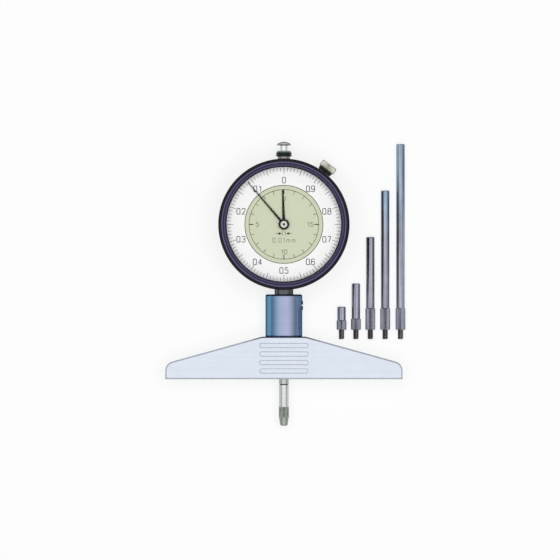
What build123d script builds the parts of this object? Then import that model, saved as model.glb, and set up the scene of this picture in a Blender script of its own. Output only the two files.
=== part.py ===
from build123d import *
import os
from math import acos, atan2, cos, degrees, pi, radians, sin, sqrt, tan

# Dial depth gauge with a 20 mm stroke, lying on its back.
# X runs along the base bar, Y from the contact point up through the dial, Z out of the dial face.
# The origin is where the spindle axis passes through the measuring face, at half the bar's thickness.

# Clearances
seat_gap = 0.03
running_gap = 0.04
face_gap = 0.05
bezel_running_gap = 0.08
tip_gap = 0.2

# Base bar
base_length = 101.6
base_thickness = 16.0
base_height = 18.2
base_slope_drop = 11.5
base_end_radius = 4.0
base_edge_chamfer = 0.5
base_pass_dia = 6.0
base_pass_chamfer = 0.6
grip_slots = 4
grip_slot_pitch = 3.64
grip_slot_length = 20.6
grip_slot_width = 1.9
grip_slot_depth = 0.9
grip_slot_radius = 0.6
grip_first_height = 3.5

# Holder that joins the base bar to the stem
holder_inset = 0.1
holder_height = 18.1
holder_ledge = 1.4
holder_spigot_dia = 11.0
holder_spigot_length = 8.0
holder_top_radius = 0.8
holder_shoulder_rise = 2.0
stem_screw_drop = 4.7
stem_screw_dia = 3.9
stem_screw_proud = 0.3
stem_screw_slot_width = 0.6
stem_screw_slot_depth = 0.8
clamp_pad_thickness = 0.8

# Stem and spindle
stem_dia = 8.0
stem_wall = 1.0
stem_shown = 1.91
stem_chamfer = 0.3
stem_bush_below_screw = 1.75
spindle_dia = 4.0
spindle_bottom = -2.4
spindle_stroke = 20.5
spindle_chamfer = 0.2
rack_pitch = 0.625
rack_depth_of_line = 0.5
rack_teeth_down = 4
drive_pinion_teeth = 16

# Contact point
contact_shank_step = 0.05
contact_shank_length = 9.5
contact_knurl_rise = 0.25
contact_knurl_length = 4.6
contact_knurl_chamfer = 0.2
contact_nose_length = 3.56
contact_nose_dia = 3.1
contact_nose_radius = 0.7
contact_thread_dia = 2.5
contact_thread_length = 4.0

# Movement
wheel_module = 0.2
wheel_teeth = 100
pinion_teeth = 10
wheel_addendum = 0.8
gear_addendum = 1.0
gear_dedendum = 1.25
pinion_dedendum = 1.1
count_pinion_teeth = 24
count_wheel_teeth = 48
tooth_backlash = 0.04
pressure_angle = 20.0
plate_thickness = 0.8
wheel_thickness = 0.5
wheel_hub_rise = 0.25
wheel_hub_gap = 0.15
hairspring_width = 0.6
front_plate_thickness = 1.0
centre_shaft_dia = 1.0
drive_shaft_dia = 1.2
pivot_dia = 0.6
bush_dia = 2.4
wheel_hub_dia = 3.4
wheel_holes = 5
wheel_hole_dia = 4.6
wheel_hole_circle = 6.2
count_holes = 4
count_hole_dia = 3.1
count_hole_circle = 4.1
drive_pinion_width = 2.4
count_tube_dia = 1.9
pillar_dia = 3.0
pillar_rivet_dia = 2.0
pillar_edge = 2.0
pillar_angles = [30, 150, 215, 330]
bridge_pillar_dia = 2.8
bridge_pillar_span = 31.0
bridge_pillar_rise = 3.0
bridge_width = 4.4
plate_slot_length = 8.0
plate_slot_width = 4.0
plate_slot_offset = 11.0
plate_slot_drop = 5.0
plate_screw_dia = 1.6
plate_screw_head_dia = 2.6
plate_screw_head = 0.7
plate_screw_slot = 0.45
plate_screw_reach = 3.0
plate_screw_end_gap = 0.5

# Heights inside the case, each above the piece below it
bridge_above_spindle = 0.5
spring_above_wheel = 0.3
plate_above_spring = 0.5
count_wheel_above_plate = 0.4
rim_above_count_wheel = 0.5
count_hand_above_dial = 0.6
pointer_above_count_hand = 0.36
crystal_above_shaft = 0.59
rear_plate_above_cover = 1.8
pinion_below_plate = 0.3

# Case
case_clearance = 3.14
case_rim_wall = 1.3
case_step = 1.4
cover_thickness = 1.2
cover_edge_radius = 0.4
cover_recess_depth = 0.4
cover_recess_edge = 5.5
case_rim_height = 4.3
ledge_width = 1.5
ledge_thickness = 1.0
case_boss_dia = 10.6
case_boss_depth = 3.2
case_boss_seat = 0.8
ledge_pad_radius = 1.7
ledge_pad_depth = 3.6
ledge_screw_angles = [10, 130, 210]
rear_plate_clearance = 2.8
cover_screws = 4
cover_screw_angle = 30
cover_screw_dia = 1.6
cover_screw_head_dia = 2.4
cover_screw_length = 4.0
cover_sink_angle = 90

# Bezel, crystal and dials
bezel_wall = 2.37
bezel_seat_step = 0.35
bezel_lip_width = 0.85
bezel_lip_thickness = 0.8
bezel_nose = 1.1
bezel_flange_width = 0.75
bezel_flange_thickness = 0.4
bezel_skirt_gap = 0.65
bezel_groove_above_dial = 0.5
bezel_groove_width = 0.7
bezel_groove_depth = 0.35
bezel_back_chamfer = 0.3
bezel_crest = 1.2
bezel_crest_edge = 1.7
bezel_crest_fall = 0.1
bezel_step_foot = 2.2
bezel_step_end = 2.55
bezel_step_drop = 0.7
dial_thickness = 0.4
scale_ring_gap = 0.1
count_dial_bore_dia = 2.8
spacer_clearance = 0.3
spacer_wall = 1.2
spacer_inset = 0.28
crystal_thickness = 1.4
crystal_rise = 0.8
crystal_flat = 0.1
gasket_width = 0.7
wire_ring_rise = 2.3
wire_ring_dia = 0.7
wire_ring_gap_angle = 12.0
wire_groove_depth_gap = 0.15
wire_groove_side_gap = 0.1

# Bezel clamp
clamp_angle = 52.5
clamp_axis_height = 0.3
clamp_screw_dia = 3.0
clamp_screw_end = 0.45
clamp_screw_seat = 2.0
clamp_lug_root = 0.6
clamp_lug_rise = 0.9
clamp_lug_edge = 0.1
clamp_lug_radius = 1.0
clamp_travel = 0.2
clamp_width = 6.0
clamp_shoe_thickness = 0.6
clamp_shoe_below_dial = 0.6
clamp_shoe_radius = 0.8
clamp_knob_dia = 7.3
clamp_knob_length = 3.65
clamp_knob_chamfer = 0.45
clamp_knob_grooves = 30
clamp_groove_depth = 0.22

# Guide pin, rail and return spring
pin_dia = 1.6
pin_seat_depth = 1.4
pin_past_coil = 0.15
rail_gap = 1.0
rail_width = 1.6
rail_end_wall = 1.5
rail_side_wall = 1.0
rail_below_pin = 0.1
rail_above_pin = 0.3
rail_below_boss = 3.06
spring_coil_dia = 2.6
spring_wire_dia = 0.44
spring_turns = 14
spring_offset = 6.8
spring_post_dia = 1.4
spring_post_rivet_dia = 1.2
spring_post_edge = 1.55
hairspring_turns = 5
hairspring_pitch = 1.0
hairspring_strip = 0.15
collet_dia = 2.0
stud_dia = 1.2

# Hands
hand_thickness = 0.22
pointer_tip_clearance = 0.7
pointer_root_width = 1.0
pointer_tip_width = 0.28
pointer_angle = 130.5
pointer_hub_dia = 4.6
pointer_cap_dia = 3.0
count_hand_margin = 2.05
count_hand_angle = 92.0
count_hub_dia = 3.4
count_hand_root_width = 1.25
count_hand_tip_width = 0.6

# Top bush, collar and lifting knob
bush_flange_dia = 7.0
bush_flange_edge = 0.35
bush_wall = 0.6
bush_shank_dia = 6.0
bush_flare = 0.9
bush_rise = 2.14
spindle_above_bush = 1.8
collar_bore_gap = 0.15
collar_height = 2.5
collar_skirt = 0.85
collar_foot = 0.25
collar_bevel = 0.2
collar_groove_bottom = 0.6
collar_groove_width = 0.2
collar_shoulder = 0.3
collar_shoulder_drop = 0.25
collar_top_inset = 0.7
knob_neck_dia = 3.07
knob_cap_dia = 6.1
knob_neck_length = 3.0
knob_cap_height = 1.6
knob_cap_rim = 0.5
knob_cap_edge = 0.2
knob_cap_edge_rise = 0.1
knob_cap_edge_height = 0.4
knob_thread_dia = 2.0
knob_thread_length = 3.0

# Extension rods that come with the gauge
rod_lengths = [10.0, 20.0, 40.0, 60.0, 80.0]
rod_places = [24.8, 31.0, 37.2, 43.6, 50.2]
rod_knurls = [4.2, 4.9, 9.4, 9.4, 9.4]
rod_below_bar_top = 1.2
rod_dia = 3.6
rod_knurl_dia = 4.3
rod_socket_room = 0.6
rod_edge_chamfer = 0.3

# Places worked out from the sizes above, from the base upwards
case_back = -base_thickness / 2
holder_dia = base_thickness - 2 * holder_inset
base_top_flat = holder_dia + 2 * holder_ledge
holder_top = base_height + holder_height
holder_foot = base_height - holder_spigot_length
holder_shoulder = base_height + holder_shoulder_rise
stem_bottom = holder_shoulder + face_gap
stem_bore_dia = stem_dia - 2 * stem_wall
stem_screw_height = holder_top - stem_screw_drop
rack_line = spindle_dia / 2 - rack_depth_of_line
contact_shank_dia = spindle_dia - 2 * contact_shank_step
contact_knurl_dia = contact_shank_dia + 2 * contact_knurl_rise

# Gears
gear_centres = wheel_module * (wheel_teeth + pinion_teeth) / 2
wheel_tip_radius = wheel_module * (wheel_teeth / 2 + wheel_addendum)
count_module = 2 * gear_centres / (count_pinion_teeth + count_wheel_teeth)
count_pinion_reach = gear_centres + count_module * (count_pinion_teeth / 2 + gear_addendum)
drive_module = rack_pitch / pi
drive_offset = rack_line + drive_module * drive_pinion_teeth / 2

# Radii of the case, the bezel and the dials
case_bore_dia = 2 * (gear_centres + wheel_tip_radius + case_clearance)
case_rim_dia = case_bore_dia + 2 * case_rim_wall
case_dia = case_rim_dia + 2 * case_step
ledge_bore_dia = case_bore_dia - 2 * ledge_width
cover_recess_dia = case_dia - 2 * cover_recess_edge
ledge_screw_radius = ledge_bore_dia / 2
rear_plate_dia = case_bore_dia - 2 * rear_plate_clearance
pillar_circle_dia = rear_plate_dia - 2 * pillar_edge
bezel_bore_dia = case_rim_dia + 2 * bezel_running_gap
bezel_dia = bezel_bore_dia + 2 * bezel_wall
bezel_seat_dia = case_rim_dia - 2 * bezel_seat_step
bezel_sight_dia = bezel_seat_dia - 2 * bezel_lip_width
bezel_flange_bore_dia = bezel_seat_dia - 2 * bezel_flange_width
spacer_bore_dia = 2 * (count_pinion_reach + spacer_clearance)
spacer_dia = spacer_bore_dia + 2 * spacer_wall
count_dial_dia = spacer_dia + 2 * spacer_inset
scale_ring_bore_dia = count_dial_dia + 2 * scale_ring_gap
pointer_length = bezel_sight_dia / 2 - pointer_tip_clearance
count_hand_length = count_dial_dia / 2 - count_hand_margin

# Heights from the back cover to the bezel's front
case_front_of_cover = case_back + cover_thickness
rear_plate_back = case_front_of_cover + rear_plate_above_cover
rear_plate_front = rear_plate_back + plate_thickness
bridge_back = spindle_dia / 2 + bridge_above_spindle
bridge_front = bridge_back + plate_thickness
wheel_back = bridge_front + wheel_hub_gap + wheel_hub_rise
hairspring_back = wheel_back + wheel_thickness + spring_above_wheel
front_plate_back = hairspring_back + hairspring_width + plate_above_spring
front_plate_front = front_plate_back + front_plate_thickness
count_wheel_back = front_plate_front + count_wheel_above_plate
case_rim_front = count_wheel_back + wheel_thickness + rim_above_count_wheel
case_shoulder = case_rim_front - case_rim_height
wire_ring_height = case_shoulder + wire_ring_rise
bezel_skirt_back = case_shoulder + bezel_skirt_gap
dial_back = case_rim_front + tip_gap + bezel_flange_thickness
dial_front = dial_back + dial_thickness
count_hand_back = dial_front + count_hand_above_dial
count_tube_top = count_hand_back + 2 * hand_thickness
pointer_back = count_tube_top + pointer_above_count_hand
shaft_top = pointer_back + 3 * hand_thickness
crystal_back = shaft_top + crystal_above_shaft
crystal_front = crystal_back + crystal_thickness
lip_back = crystal_front + face_gap
bezel_front = lip_back + bezel_lip_thickness + bezel_nose

# Places up the spindle's axis
dial_height = holder_top + stem_shown + bezel_dia / 2
case_bottom = dial_height - case_dia / 2
case_top = dial_height + case_dia / 2
boss_top_end = dial_height + case_bore_dia / 2 + case_boss_seat - case_boss_depth
stem_top = dial_height - case_bore_dia / 2 + case_boss_depth / 2
bush_waist_dia = spindle_dia + 2 * bush_wall
bush_top = case_top + bush_rise
collar_bore_dia = spindle_dia + 2 * collar_bore_gap
collar_rim_dia = bush_waist_dia + 2 * collar_skirt
collar_top_dia = collar_rim_dia - 2 * collar_top_inset
spindle_top = bush_top + spindle_above_bush
knob_cap_bottom = spindle_top + knob_neck_length
pin_height = boss_top_end - rail_below_boss - rail_end_wall - rail_above_pin - pin_dia / 2 - spindle_stroke
rail_left = spindle_dia / 2 + rail_gap
spring_post_radius = rear_plate_dia / 2 - spring_post_edge
spring_post_height = dial_height - sqrt(spring_post_radius**2 - spring_offset**2)

# Rods
rod_bottom = base_height - rod_below_bar_top
rod_thread_dia = contact_thread_dia
rod_thread_length = contact_thread_length
rod_socket_depth = rod_thread_length + rod_socket_room
rod_level = case_back + rod_knurl_dia / 2

# Centres of the shafts, and the planes that the pieces are drawn on
half_turn = degrees(pi)
drive_centre = (-drive_offset, dial_height - sqrt(gear_centres**2 - drive_offset**2))
drive_direction = degrees(atan2(dial_height - drive_centre[1], drive_offset))
toward_drive = drive_direction + half_turn
hairspring_centre = (drive_offset, 2 * dial_height - drive_centre[1])
drive_place = (drive_centre[0], drive_centre[1] - dial_height)
hairspring_place = (hairspring_centre[0], hairspring_centre[1] - dial_height)
dial_axis = Axis((0, dial_height, 0), (0, 0, 1))
dial_section = Plane(origin=(0, dial_height, 0), x_dir=(1, 0, 0), z_dir=(0, -1, 0))
clamp_plane = Plane(
    origin=(0, dial_height, clamp_axis_height),
    x_dir=(-sin(radians(clamp_angle)), cos(radians(clamp_angle)), 0),
    z_dir=(cos(radians(clamp_angle)), sin(radians(clamp_angle)), 0),
)

os.makedirs("parts", exist_ok=True)


def along_y(height):
    """Plane across the spindle axis at a height, facing away from the base."""
    return Plane(origin=(0, height, 0), x_dir=(1, 0, 0), z_dir=(0, 1, 0))


def along_x(offset, height):
    """Plane facing +X at an offset, with its origin at a height on the spindle's level."""
    return Plane(origin=(offset, height, 0), x_dir=(0, 1, 0), z_dir=(1, 0, 0))


def at_dial(height):
    """Plane facing out of the dial, centred on the dial."""
    return Plane(origin=(0, dial_height, height))


def at_point(point, height):
    """Plane facing out of the dial, centred on a shaft."""
    return Plane(origin=(point[0], point[1], height))


def gear_outline(teeth, module, addendum, dedendum, first_tooth, backlash=tooth_backlash):
    """Corners of a spur gear about its own centre, with one tooth centred on first_tooth degrees."""
    pitch_radius = teeth * module / 2
    base_radius = pitch_radius * cos(radians(pressure_angle))
    tip_radius = pitch_radius + addendum * module
    root_radius = pitch_radius - dedendum * module
    roll = tan(radians(pressure_angle)) - radians(pressure_angle)
    half_tooth = pi / (2 * teeth) - backlash / (2 * pitch_radius) + roll
    flank_start = max(base_radius, root_radius)
    flank_radii = [flank_start, (flank_start + tip_radius) / 2, tip_radius]
    flank = []
    for radius in flank_radii:
        angle = acos(min(1.0, base_radius / radius))
        flank.append((radius, half_tooth - (tan(angle) - angle)))
    if root_radius < base_radius:
        flank.insert(0, (root_radius, half_tooth))
    corners = []
    for tooth in range(teeth):
        middle = radians(first_tooth) + 2 * pi * tooth / teeth
        for radius, half in flank:
            corners.append((radius * cos(middle - half), radius * sin(middle - half)))
        for radius, half in reversed(flank):
            corners.append((radius * cos(middle + half), radius * sin(middle + half)))
    return corners


def wheel_outline(teeth, module, addendum, dedendum, first_tooth):
    """Corners of a fine wheel, whose flanks are straight from root to tip."""
    pitch_radius = teeth * module / 2
    tip_radius = pitch_radius + addendum * module
    root_radius = pitch_radius - dedendum * module
    half_pitch = pi / (2 * teeth) - tooth_backlash / (2 * pitch_radius)
    slope = tan(radians(pressure_angle)) / pitch_radius
    half_tip = half_pitch - addendum * module * slope
    half_root = half_pitch + dedendum * module * slope
    corners = []
    for tooth in range(teeth):
        middle = radians(first_tooth) + 2 * pi * tooth / teeth
        corners.append((root_radius * cos(middle - half_root), root_radius * sin(middle - half_root)))
        corners.append((tip_radius * cos(middle - half_tip), tip_radius * sin(middle - half_tip)))
        corners.append((tip_radius * cos(middle + half_tip), tip_radius * sin(middle + half_tip)))
        corners.append((root_radius * cos(middle + half_root), root_radius * sin(middle + half_root)))
    return corners


def round_dial(radius, angle):
    """Point on a circle about the dial's centre, at an angle from +X, from the centre itself."""
    return (radius * cos(radians(angle)), radius * sin(radians(angle)))


def keep(piece, name):
    """Label a finished piece and write its file."""
    piece.part.label = name
    export_step(piece.part, f"parts/{name}.step")


# Base bar: sloped shoulders, rounded ends, four grip slots, a bore for the holder and the contact
with BuildPart() as base_bar:
    with BuildSketch(Plane.XY.offset(-base_thickness / 2)):
        with BuildLine():
            Polyline(
                (-base_length / 2, 0),
                (base_length / 2, 0),
                (base_length / 2, base_height - base_slope_drop),
                (base_top_flat / 2, base_height),
                (-base_top_flat / 2, base_height),
                (-base_length / 2, base_height - base_slope_drop),
                close=True,
            )
        make_face()
        ends = vertices().group_by(Axis.Y)[1]
        fillet(ends, radius=base_end_radius)
    extrude(amount=base_thickness)
    front_and_back = faces().filter_by(Axis.Z)
    chamfer(front_and_back.edges(), length=base_edge_chamfer)
    with BuildSketch(Plane.XY.offset(base_thickness / 2)):
        with Locations((0, grip_first_height + grip_slot_pitch * (grip_slots - 1) / 2)):
            with GridLocations(1, grip_slot_pitch, 1, grip_slots):
                RectangleRounded(grip_slot_length, grip_slot_width, grip_slot_radius)
    extrude(amount=-grip_slot_depth, mode=Mode.SUBTRACT)
    with BuildSketch(along_y(0)):
        Circle(base_pass_dia / 2)
    extrude(amount=base_height, mode=Mode.SUBTRACT)
    with BuildSketch(along_y(holder_foot)):
        Circle(holder_spigot_dia / 2 + seat_gap)
    extrude(amount=holder_spigot_length, mode=Mode.SUBTRACT)
    pass_mouth = edges().filter_by(GeomType.CIRCLE).sort_by(Axis.Y)[0]
    chamfer(pass_mouth, length=base_pass_chamfer)
keep(base_bar, "base_bar")

# Holder sleeve: turned post with a spigot in the bar, a shouldered bore for the stem and a screw hole
with BuildPart() as holder_sleeve:
    with BuildSketch(Plane.XY):
        with BuildLine():
            Polyline(
                (base_pass_dia / 2, holder_foot + face_gap),
                (holder_spigot_dia / 2, holder_foot + face_gap),
                (holder_spigot_dia / 2, base_height),
                (holder_dia / 2, base_height),
                (holder_dia / 2, holder_top),
                (stem_dia / 2 + seat_gap, holder_top),
                (stem_dia / 2 + seat_gap, holder_shoulder),
                (base_pass_dia / 2, holder_shoulder),
                close=True,
            )
        make_face()
        top_corner = vertices().group_by(Axis.Y)[-1].sort_by(Axis.X)[-1]
        fillet(top_corner, radius=holder_top_radius)
    revolve(axis=Axis.Y)
    with BuildSketch(along_x(0, stem_screw_height)):
        Circle(stem_screw_dia / 2 + seat_gap)
    extrude(amount=holder_dia, mode=Mode.SUBTRACT)
keep(holder_sleeve, "holder_sleeve")

# Stem set screw with its slot, and the brass pad that it presses on the stem
pad_start = stem_dia / 2 + face_gap
screw_start = pad_start + clamp_pad_thickness + face_gap
screw_end = holder_dia / 2 + stem_screw_proud
with BuildPart() as stem_set_screw:
    with BuildSketch(along_x(screw_start, stem_screw_height)):
        Circle(stem_screw_dia / 2)
    extrude(amount=screw_end - screw_start)
    with BuildSketch(along_x(screw_end, stem_screw_height)):
        Rectangle(stem_screw_slot_width, stem_screw_dia)
    extrude(amount=-stem_screw_slot_depth, mode=Mode.SUBTRACT)
keep(stem_set_screw, "stem_set_screw")

with BuildPart() as stem_clamp_pad:
    with BuildSketch(along_x(pad_start, stem_screw_height)):
        Circle(stem_screw_dia / 2)
    extrude(amount=clamp_pad_thickness)
keep(stem_clamp_pad, "stem_clamp_pad")

# Stem tube, pressed into the foot of the case, and the long bush in its lower end
with BuildPart() as stem_tube:
    with BuildSketch(along_y(stem_bottom)):
        Circle(stem_dia / 2)
        Circle(stem_bore_dia / 2, mode=Mode.SUBTRACT)
    extrude(amount=stem_top - stem_bottom)
    lower_edge = edges().group_by(Axis.Y)[0].sort_by(SortBy.LENGTH)[-1]
    chamfer(lower_edge, length=stem_chamfer)
keep(stem_tube, "stem_tube")

with BuildPart() as stem_bush:
    with BuildSketch(along_y(stem_bottom + face_gap)):
        Circle(stem_bore_dia / 2 - seat_gap)
        Circle(spindle_dia / 2 + running_gap, mode=Mode.SUBTRACT)
    extrude(amount=stem_screw_height - stem_bush_below_screw - stem_bottom)
keep(stem_bush, "stem_bush")

# Case ring: wall, front rim with the wire groove, ledge for the movement, bosses and the clamp lug
wall = case_dia / 2
bore = case_bore_dia / 2
rim = case_rim_dia / 2
groove_half = wire_ring_dia / 2 + wire_groove_side_gap
groove_floor = rim - wire_ring_dia / 2 - wire_groove_depth_gap
lug_radius = wall + clamp_lug_rise
ledge_places = [round_dial(ledge_screw_radius, angle) for angle in ledge_screw_angles]
with BuildPart() as case_ring:
    with BuildSketch(dial_section):
        with BuildLine():
            Polyline(
                (bore, case_front_of_cover),
                (wall, case_front_of_cover),
                (wall, case_shoulder),
                (rim, case_shoulder),
                (rim, wire_ring_height - groove_half),
                (groove_floor, wire_ring_height - groove_half),
                (groove_floor, wire_ring_height + groove_half),
                (rim, wire_ring_height + groove_half),
                (rim, case_rim_front),
                (bore, case_rim_front),
                (bore, front_plate_back),
                (ledge_bore_dia / 2, front_plate_back),
                (ledge_bore_dia / 2, front_plate_back - ledge_thickness),
                (bore, front_plate_back - ledge_thickness),
                close=True,
            )
        make_face()
    revolve(axis=dial_axis)
    # Bosses for the stem below and the bush above
    with BuildSketch(along_y(dial_height - bore - case_boss_seat)):
        Circle(case_boss_dia / 2)
    extrude(amount=case_boss_depth)
    with BuildSketch(along_y(dial_height + bore + case_boss_seat)):
        Circle(case_boss_dia / 2)
    extrude(amount=-case_boss_depth)
    # Pads under the ledge for the movement's screws
    with BuildSketch(at_dial(front_plate_back - ledge_pad_depth)):
        with Locations(*ledge_places):
            Circle(ledge_pad_radius)
    extrude(amount=ledge_pad_depth)
    # Lug for the bezel clamp
    with BuildSketch(clamp_plane.offset(bore + clamp_lug_root)):
        lug_height = 2 * (case_shoulder - clamp_axis_height - clamp_lug_edge)
        RectangleRounded(clamp_width, lug_height, clamp_lug_radius)
    extrude(amount=lug_radius - bore - clamp_lug_root)
    # Holes for the stem, the bush, the clamp screw, the cover screws and the movement's screws
    with BuildSketch(along_y(case_bottom)):
        Circle(stem_dia / 2 + seat_gap)
    extrude(amount=case_boss_depth + wall - bore, mode=Mode.SUBTRACT)
    with BuildSketch(along_y(case_top)):
        Circle(bush_shank_dia / 2 + seat_gap)
    extrude(amount=-case_boss_depth - wall + bore, mode=Mode.SUBTRACT)
    with BuildSketch(clamp_plane.offset(bore / 2)):
        Circle(clamp_screw_dia / 2 + running_gap)
    extrude(amount=lug_radius - bore / 2, mode=Mode.SUBTRACT)
    with BuildSketch(at_dial(case_front_of_cover)):
        with PolarLocations((wall + bore) / 2, cover_screws, start_angle=cover_screw_angle):
            Circle(cover_screw_dia / 2 + seat_gap)
    extrude(amount=cover_screw_length, mode=Mode.SUBTRACT)
    with BuildSketch(at_dial(front_plate_back)):
        with Locations(*ledge_places):
            Circle(plate_screw_dia / 2 + seat_gap)
    extrude(amount=-plate_screw_reach, mode=Mode.SUBTRACT)
keep(case_ring, "case_ring")

# Back cover: dished disc held by countersunk screws
with BuildPart() as back_cover:
    with BuildSketch(at_dial(case_back)):
        Circle(wall)
    extrude(amount=cover_thickness)
    rear_rim = edges().group_by(Axis.Z)[0]
    fillet(rear_rim, radius=cover_edge_radius)
    with BuildSketch(at_dial(case_back)):
        Circle(cover_recess_dia / 2)
    extrude(amount=cover_recess_depth, mode=Mode.SUBTRACT)
    with Locations(at_dial(case_back).rotated((180, 0, 0))):
        with PolarLocations((wall + bore) / 2, cover_screws, start_angle=-cover_screw_angle):
            CounterSinkHole(
                radius=cover_screw_dia / 2 + seat_gap,
                counter_sink_radius=cover_screw_head_dia / 2 + seat_gap + face_gap,
                depth=cover_thickness,
                counter_sink_angle=cover_sink_angle,
            )
keep(back_cover, "back_cover")

with BuildPart() as back_cover_screws:
    cone_depth = (cover_screw_head_dia - cover_screw_dia) / 2
    with Locations((0, dial_height, case_back + face_gap)):
        with PolarLocations((wall + bore) / 2, cover_screws, start_angle=cover_screw_angle):
            Cone(
                cover_screw_head_dia / 2,
                cover_screw_dia / 2,
                cone_depth,
                align=(Align.CENTER, Align.CENTER, Align.MIN),
            )
            Cylinder(
                cover_screw_dia / 2,
                cover_screw_length,
                align=(Align.CENTER, Align.CENTER, Align.MIN),
            )
keep(back_cover_screws, "back_cover_screws")

# Upper bush: flared flange on the case, plain waist, shank inside the boss
flange_bottom = case_top + face_gap
with BuildPart() as upper_bush:
    with BuildSketch(Plane.XY):
        with BuildLine():
            Polyline(
                (spindle_dia / 2 + running_gap, boss_top_end),
                (bush_shank_dia / 2, boss_top_end),
                (bush_shank_dia / 2, flange_bottom),
                (bush_flange_dia / 2, flange_bottom),
                (bush_flange_dia / 2, flange_bottom + bush_flange_edge),
                (bush_waist_dia / 2, flange_bottom + bush_flare),
                (bush_waist_dia / 2, bush_top),
                (spindle_dia / 2 + running_gap, bush_top),
                close=True,
            )
        make_face()
    revolve(axis=Axis.Y)
keep(upper_bush, "upper_bush")

# Screw-on dust collar round the top of the spindle
collar_bottom = bush_top + face_gap
groove_start = collar_bottom + collar_groove_bottom
groove_end = groove_start + 2 * collar_bevel + collar_groove_width
with BuildPart() as dust_collar:
    with BuildSketch(Plane.XY):
        with BuildLine():
            Polyline(
                (collar_bore_dia / 2, collar_bottom),
                (bush_waist_dia / 2 + collar_foot, collar_bottom),
                (collar_rim_dia / 2, collar_bottom + collar_bevel),
                (collar_rim_dia / 2, groove_start),
                (collar_rim_dia / 2 - collar_bevel, groove_start + collar_bevel),
                (collar_rim_dia / 2 - collar_bevel, groove_end - collar_bevel),
                (collar_rim_dia / 2, groove_end),
                (collar_top_dia / 2 + collar_shoulder, collar_bottom + collar_height - collar_shoulder_drop),
                (collar_top_dia / 2, collar_bottom + collar_height),
                (collar_bore_dia / 2, collar_bottom + collar_height),
                close=True,
            )
        make_face()
    revolve(axis=Axis.Y)
keep(dust_collar, "dust_collar")

# Spindle with the rack milled in its side, the cross hole for the guide pin and threaded ends
rack_teeth_up = int((spindle_stroke + 3 * rack_pitch) / rack_pitch)
rack_tip = rack_line + drive_module
rack_root = rack_line - gear_dedendum * drive_module
rack_slope = tan(radians(pressure_angle))
half_gap_tip = rack_pitch / 4 + drive_module * rack_slope + tooth_backlash / 4
half_gap_root = rack_pitch / 4 - gear_dedendum * drive_module * rack_slope + tooth_backlash / 4
with BuildPart() as spindle:
    with BuildSketch(along_y(spindle_bottom)):
        Circle(spindle_dia / 2)
    extrude(amount=spindle_top - spindle_bottom)
    chamfer(edges().filter_by(GeomType.CIRCLE), length=spindle_chamfer)
    with BuildSketch(Plane.XY.offset(-spindle_dia / 2)):
        with BuildLine():
            rack_corners = []
            for tooth in range(-rack_teeth_up, rack_teeth_down + 1):
                middle = drive_centre[1] + tooth * rack_pitch
                rack_corners.append((-rack_tip, middle - half_gap_tip))
                rack_corners.append((-rack_root, middle - half_gap_root))
                rack_corners.append((-rack_root, middle + half_gap_root))
                rack_corners.append((-rack_tip, middle + half_gap_tip))
            rack_corners.append((-spindle_dia, rack_corners[-1][1]))
            rack_corners.append((-spindle_dia, rack_corners[0][1]))
            Polyline(*rack_corners, close=True)
        make_face()
    extrude(amount=spindle_dia, mode=Mode.SUBTRACT)
    with BuildSketch(along_x(spindle_dia / 2 - pin_seat_depth, pin_height)):
        Circle(pin_dia / 2 + seat_gap / 2)
    extrude(amount=pin_seat_depth, mode=Mode.SUBTRACT)
    with BuildSketch(along_y(spindle_bottom)):
        Circle(contact_thread_dia / 2 + seat_gap)
    extrude(amount=contact_thread_length + face_gap, mode=Mode.SUBTRACT)
    with BuildSketch(along_y(spindle_top)):
        Circle(knob_thread_dia / 2 + seat_gap)
    extrude(amount=-knob_thread_length - face_gap, mode=Mode.SUBTRACT)
keep(spindle, "spindle")

# Contact point: plain shank, knurled band, tapered nose with a rounded tip
shank_top = spindle_bottom - face_gap
shank_bottom = shank_top - contact_shank_length
knurl_bottom = shank_bottom - contact_knurl_length
contact_tip = knurl_bottom - contact_nose_length
with BuildPart() as contact_point:
    with BuildSketch(Plane.XY):
        with BuildLine():
            Polyline(
                (0, spindle_bottom + contact_thread_length),
                (contact_thread_dia / 2, spindle_bottom + contact_thread_length),
                (contact_thread_dia / 2, shank_top),
                (contact_shank_dia / 2, shank_top),
                (contact_shank_dia / 2, shank_bottom),
                (contact_knurl_dia / 2, shank_bottom - contact_knurl_chamfer),
                (contact_knurl_dia / 2, knurl_bottom),
                (contact_nose_dia / 2, contact_tip),
                (0, contact_tip),
                close=True,
            )
        make_face()
        nose_corner = vertices().group_by(Axis.Y)[0].sort_by(Axis.X)[-1]
        fillet(nose_corner, radius=contact_nose_radius)
    revolve(axis=Axis.Y)
keep(contact_point, "contact_point")

# Lifting knob: mushroom cap on a neck that screws into the spindle
with BuildPart() as lifting_knob:
    with BuildSketch(Plane.XY):
        with BuildLine():
            cap_top = knob_cap_bottom + knob_cap_height
            Polyline(
                (0, cap_top),
                (0, spindle_top - knob_thread_length),
                (knob_thread_dia / 2, spindle_top - knob_thread_length),
                (knob_thread_dia / 2, spindle_top + face_gap),
                (knob_neck_dia / 2, spindle_top + face_gap),
                (knob_neck_dia / 2, knob_cap_bottom),
                (knob_cap_dia / 2 - knob_cap_edge, knob_cap_bottom + knob_cap_edge_rise),
                (knob_cap_dia / 2, knob_cap_bottom + knob_cap_edge_height),
                (knob_cap_dia / 2, knob_cap_bottom + knob_cap_rim),
            )
            TangentArc((0, cap_top), (knob_cap_dia / 2, knob_cap_bottom + knob_cap_rim), tangent=(1, 0))
        make_face()
    revolve(axis=Axis.Y)
keep(lifting_knob, "lifting_knob")

# Guide pin across the spindle, and the slotted rail that stops the spindle turning
pin_start = spindle_dia / 2 - pin_seat_depth + face_gap
pin_end = spring_offset + spring_coil_dia / 2 + pin_past_coil
with BuildPart() as guide_pin:
    with BuildSketch(along_x(pin_start, pin_height)):
        Circle(pin_dia / 2)
    extrude(amount=pin_end - pin_start)
keep(guide_pin, "guide_pin")

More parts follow.
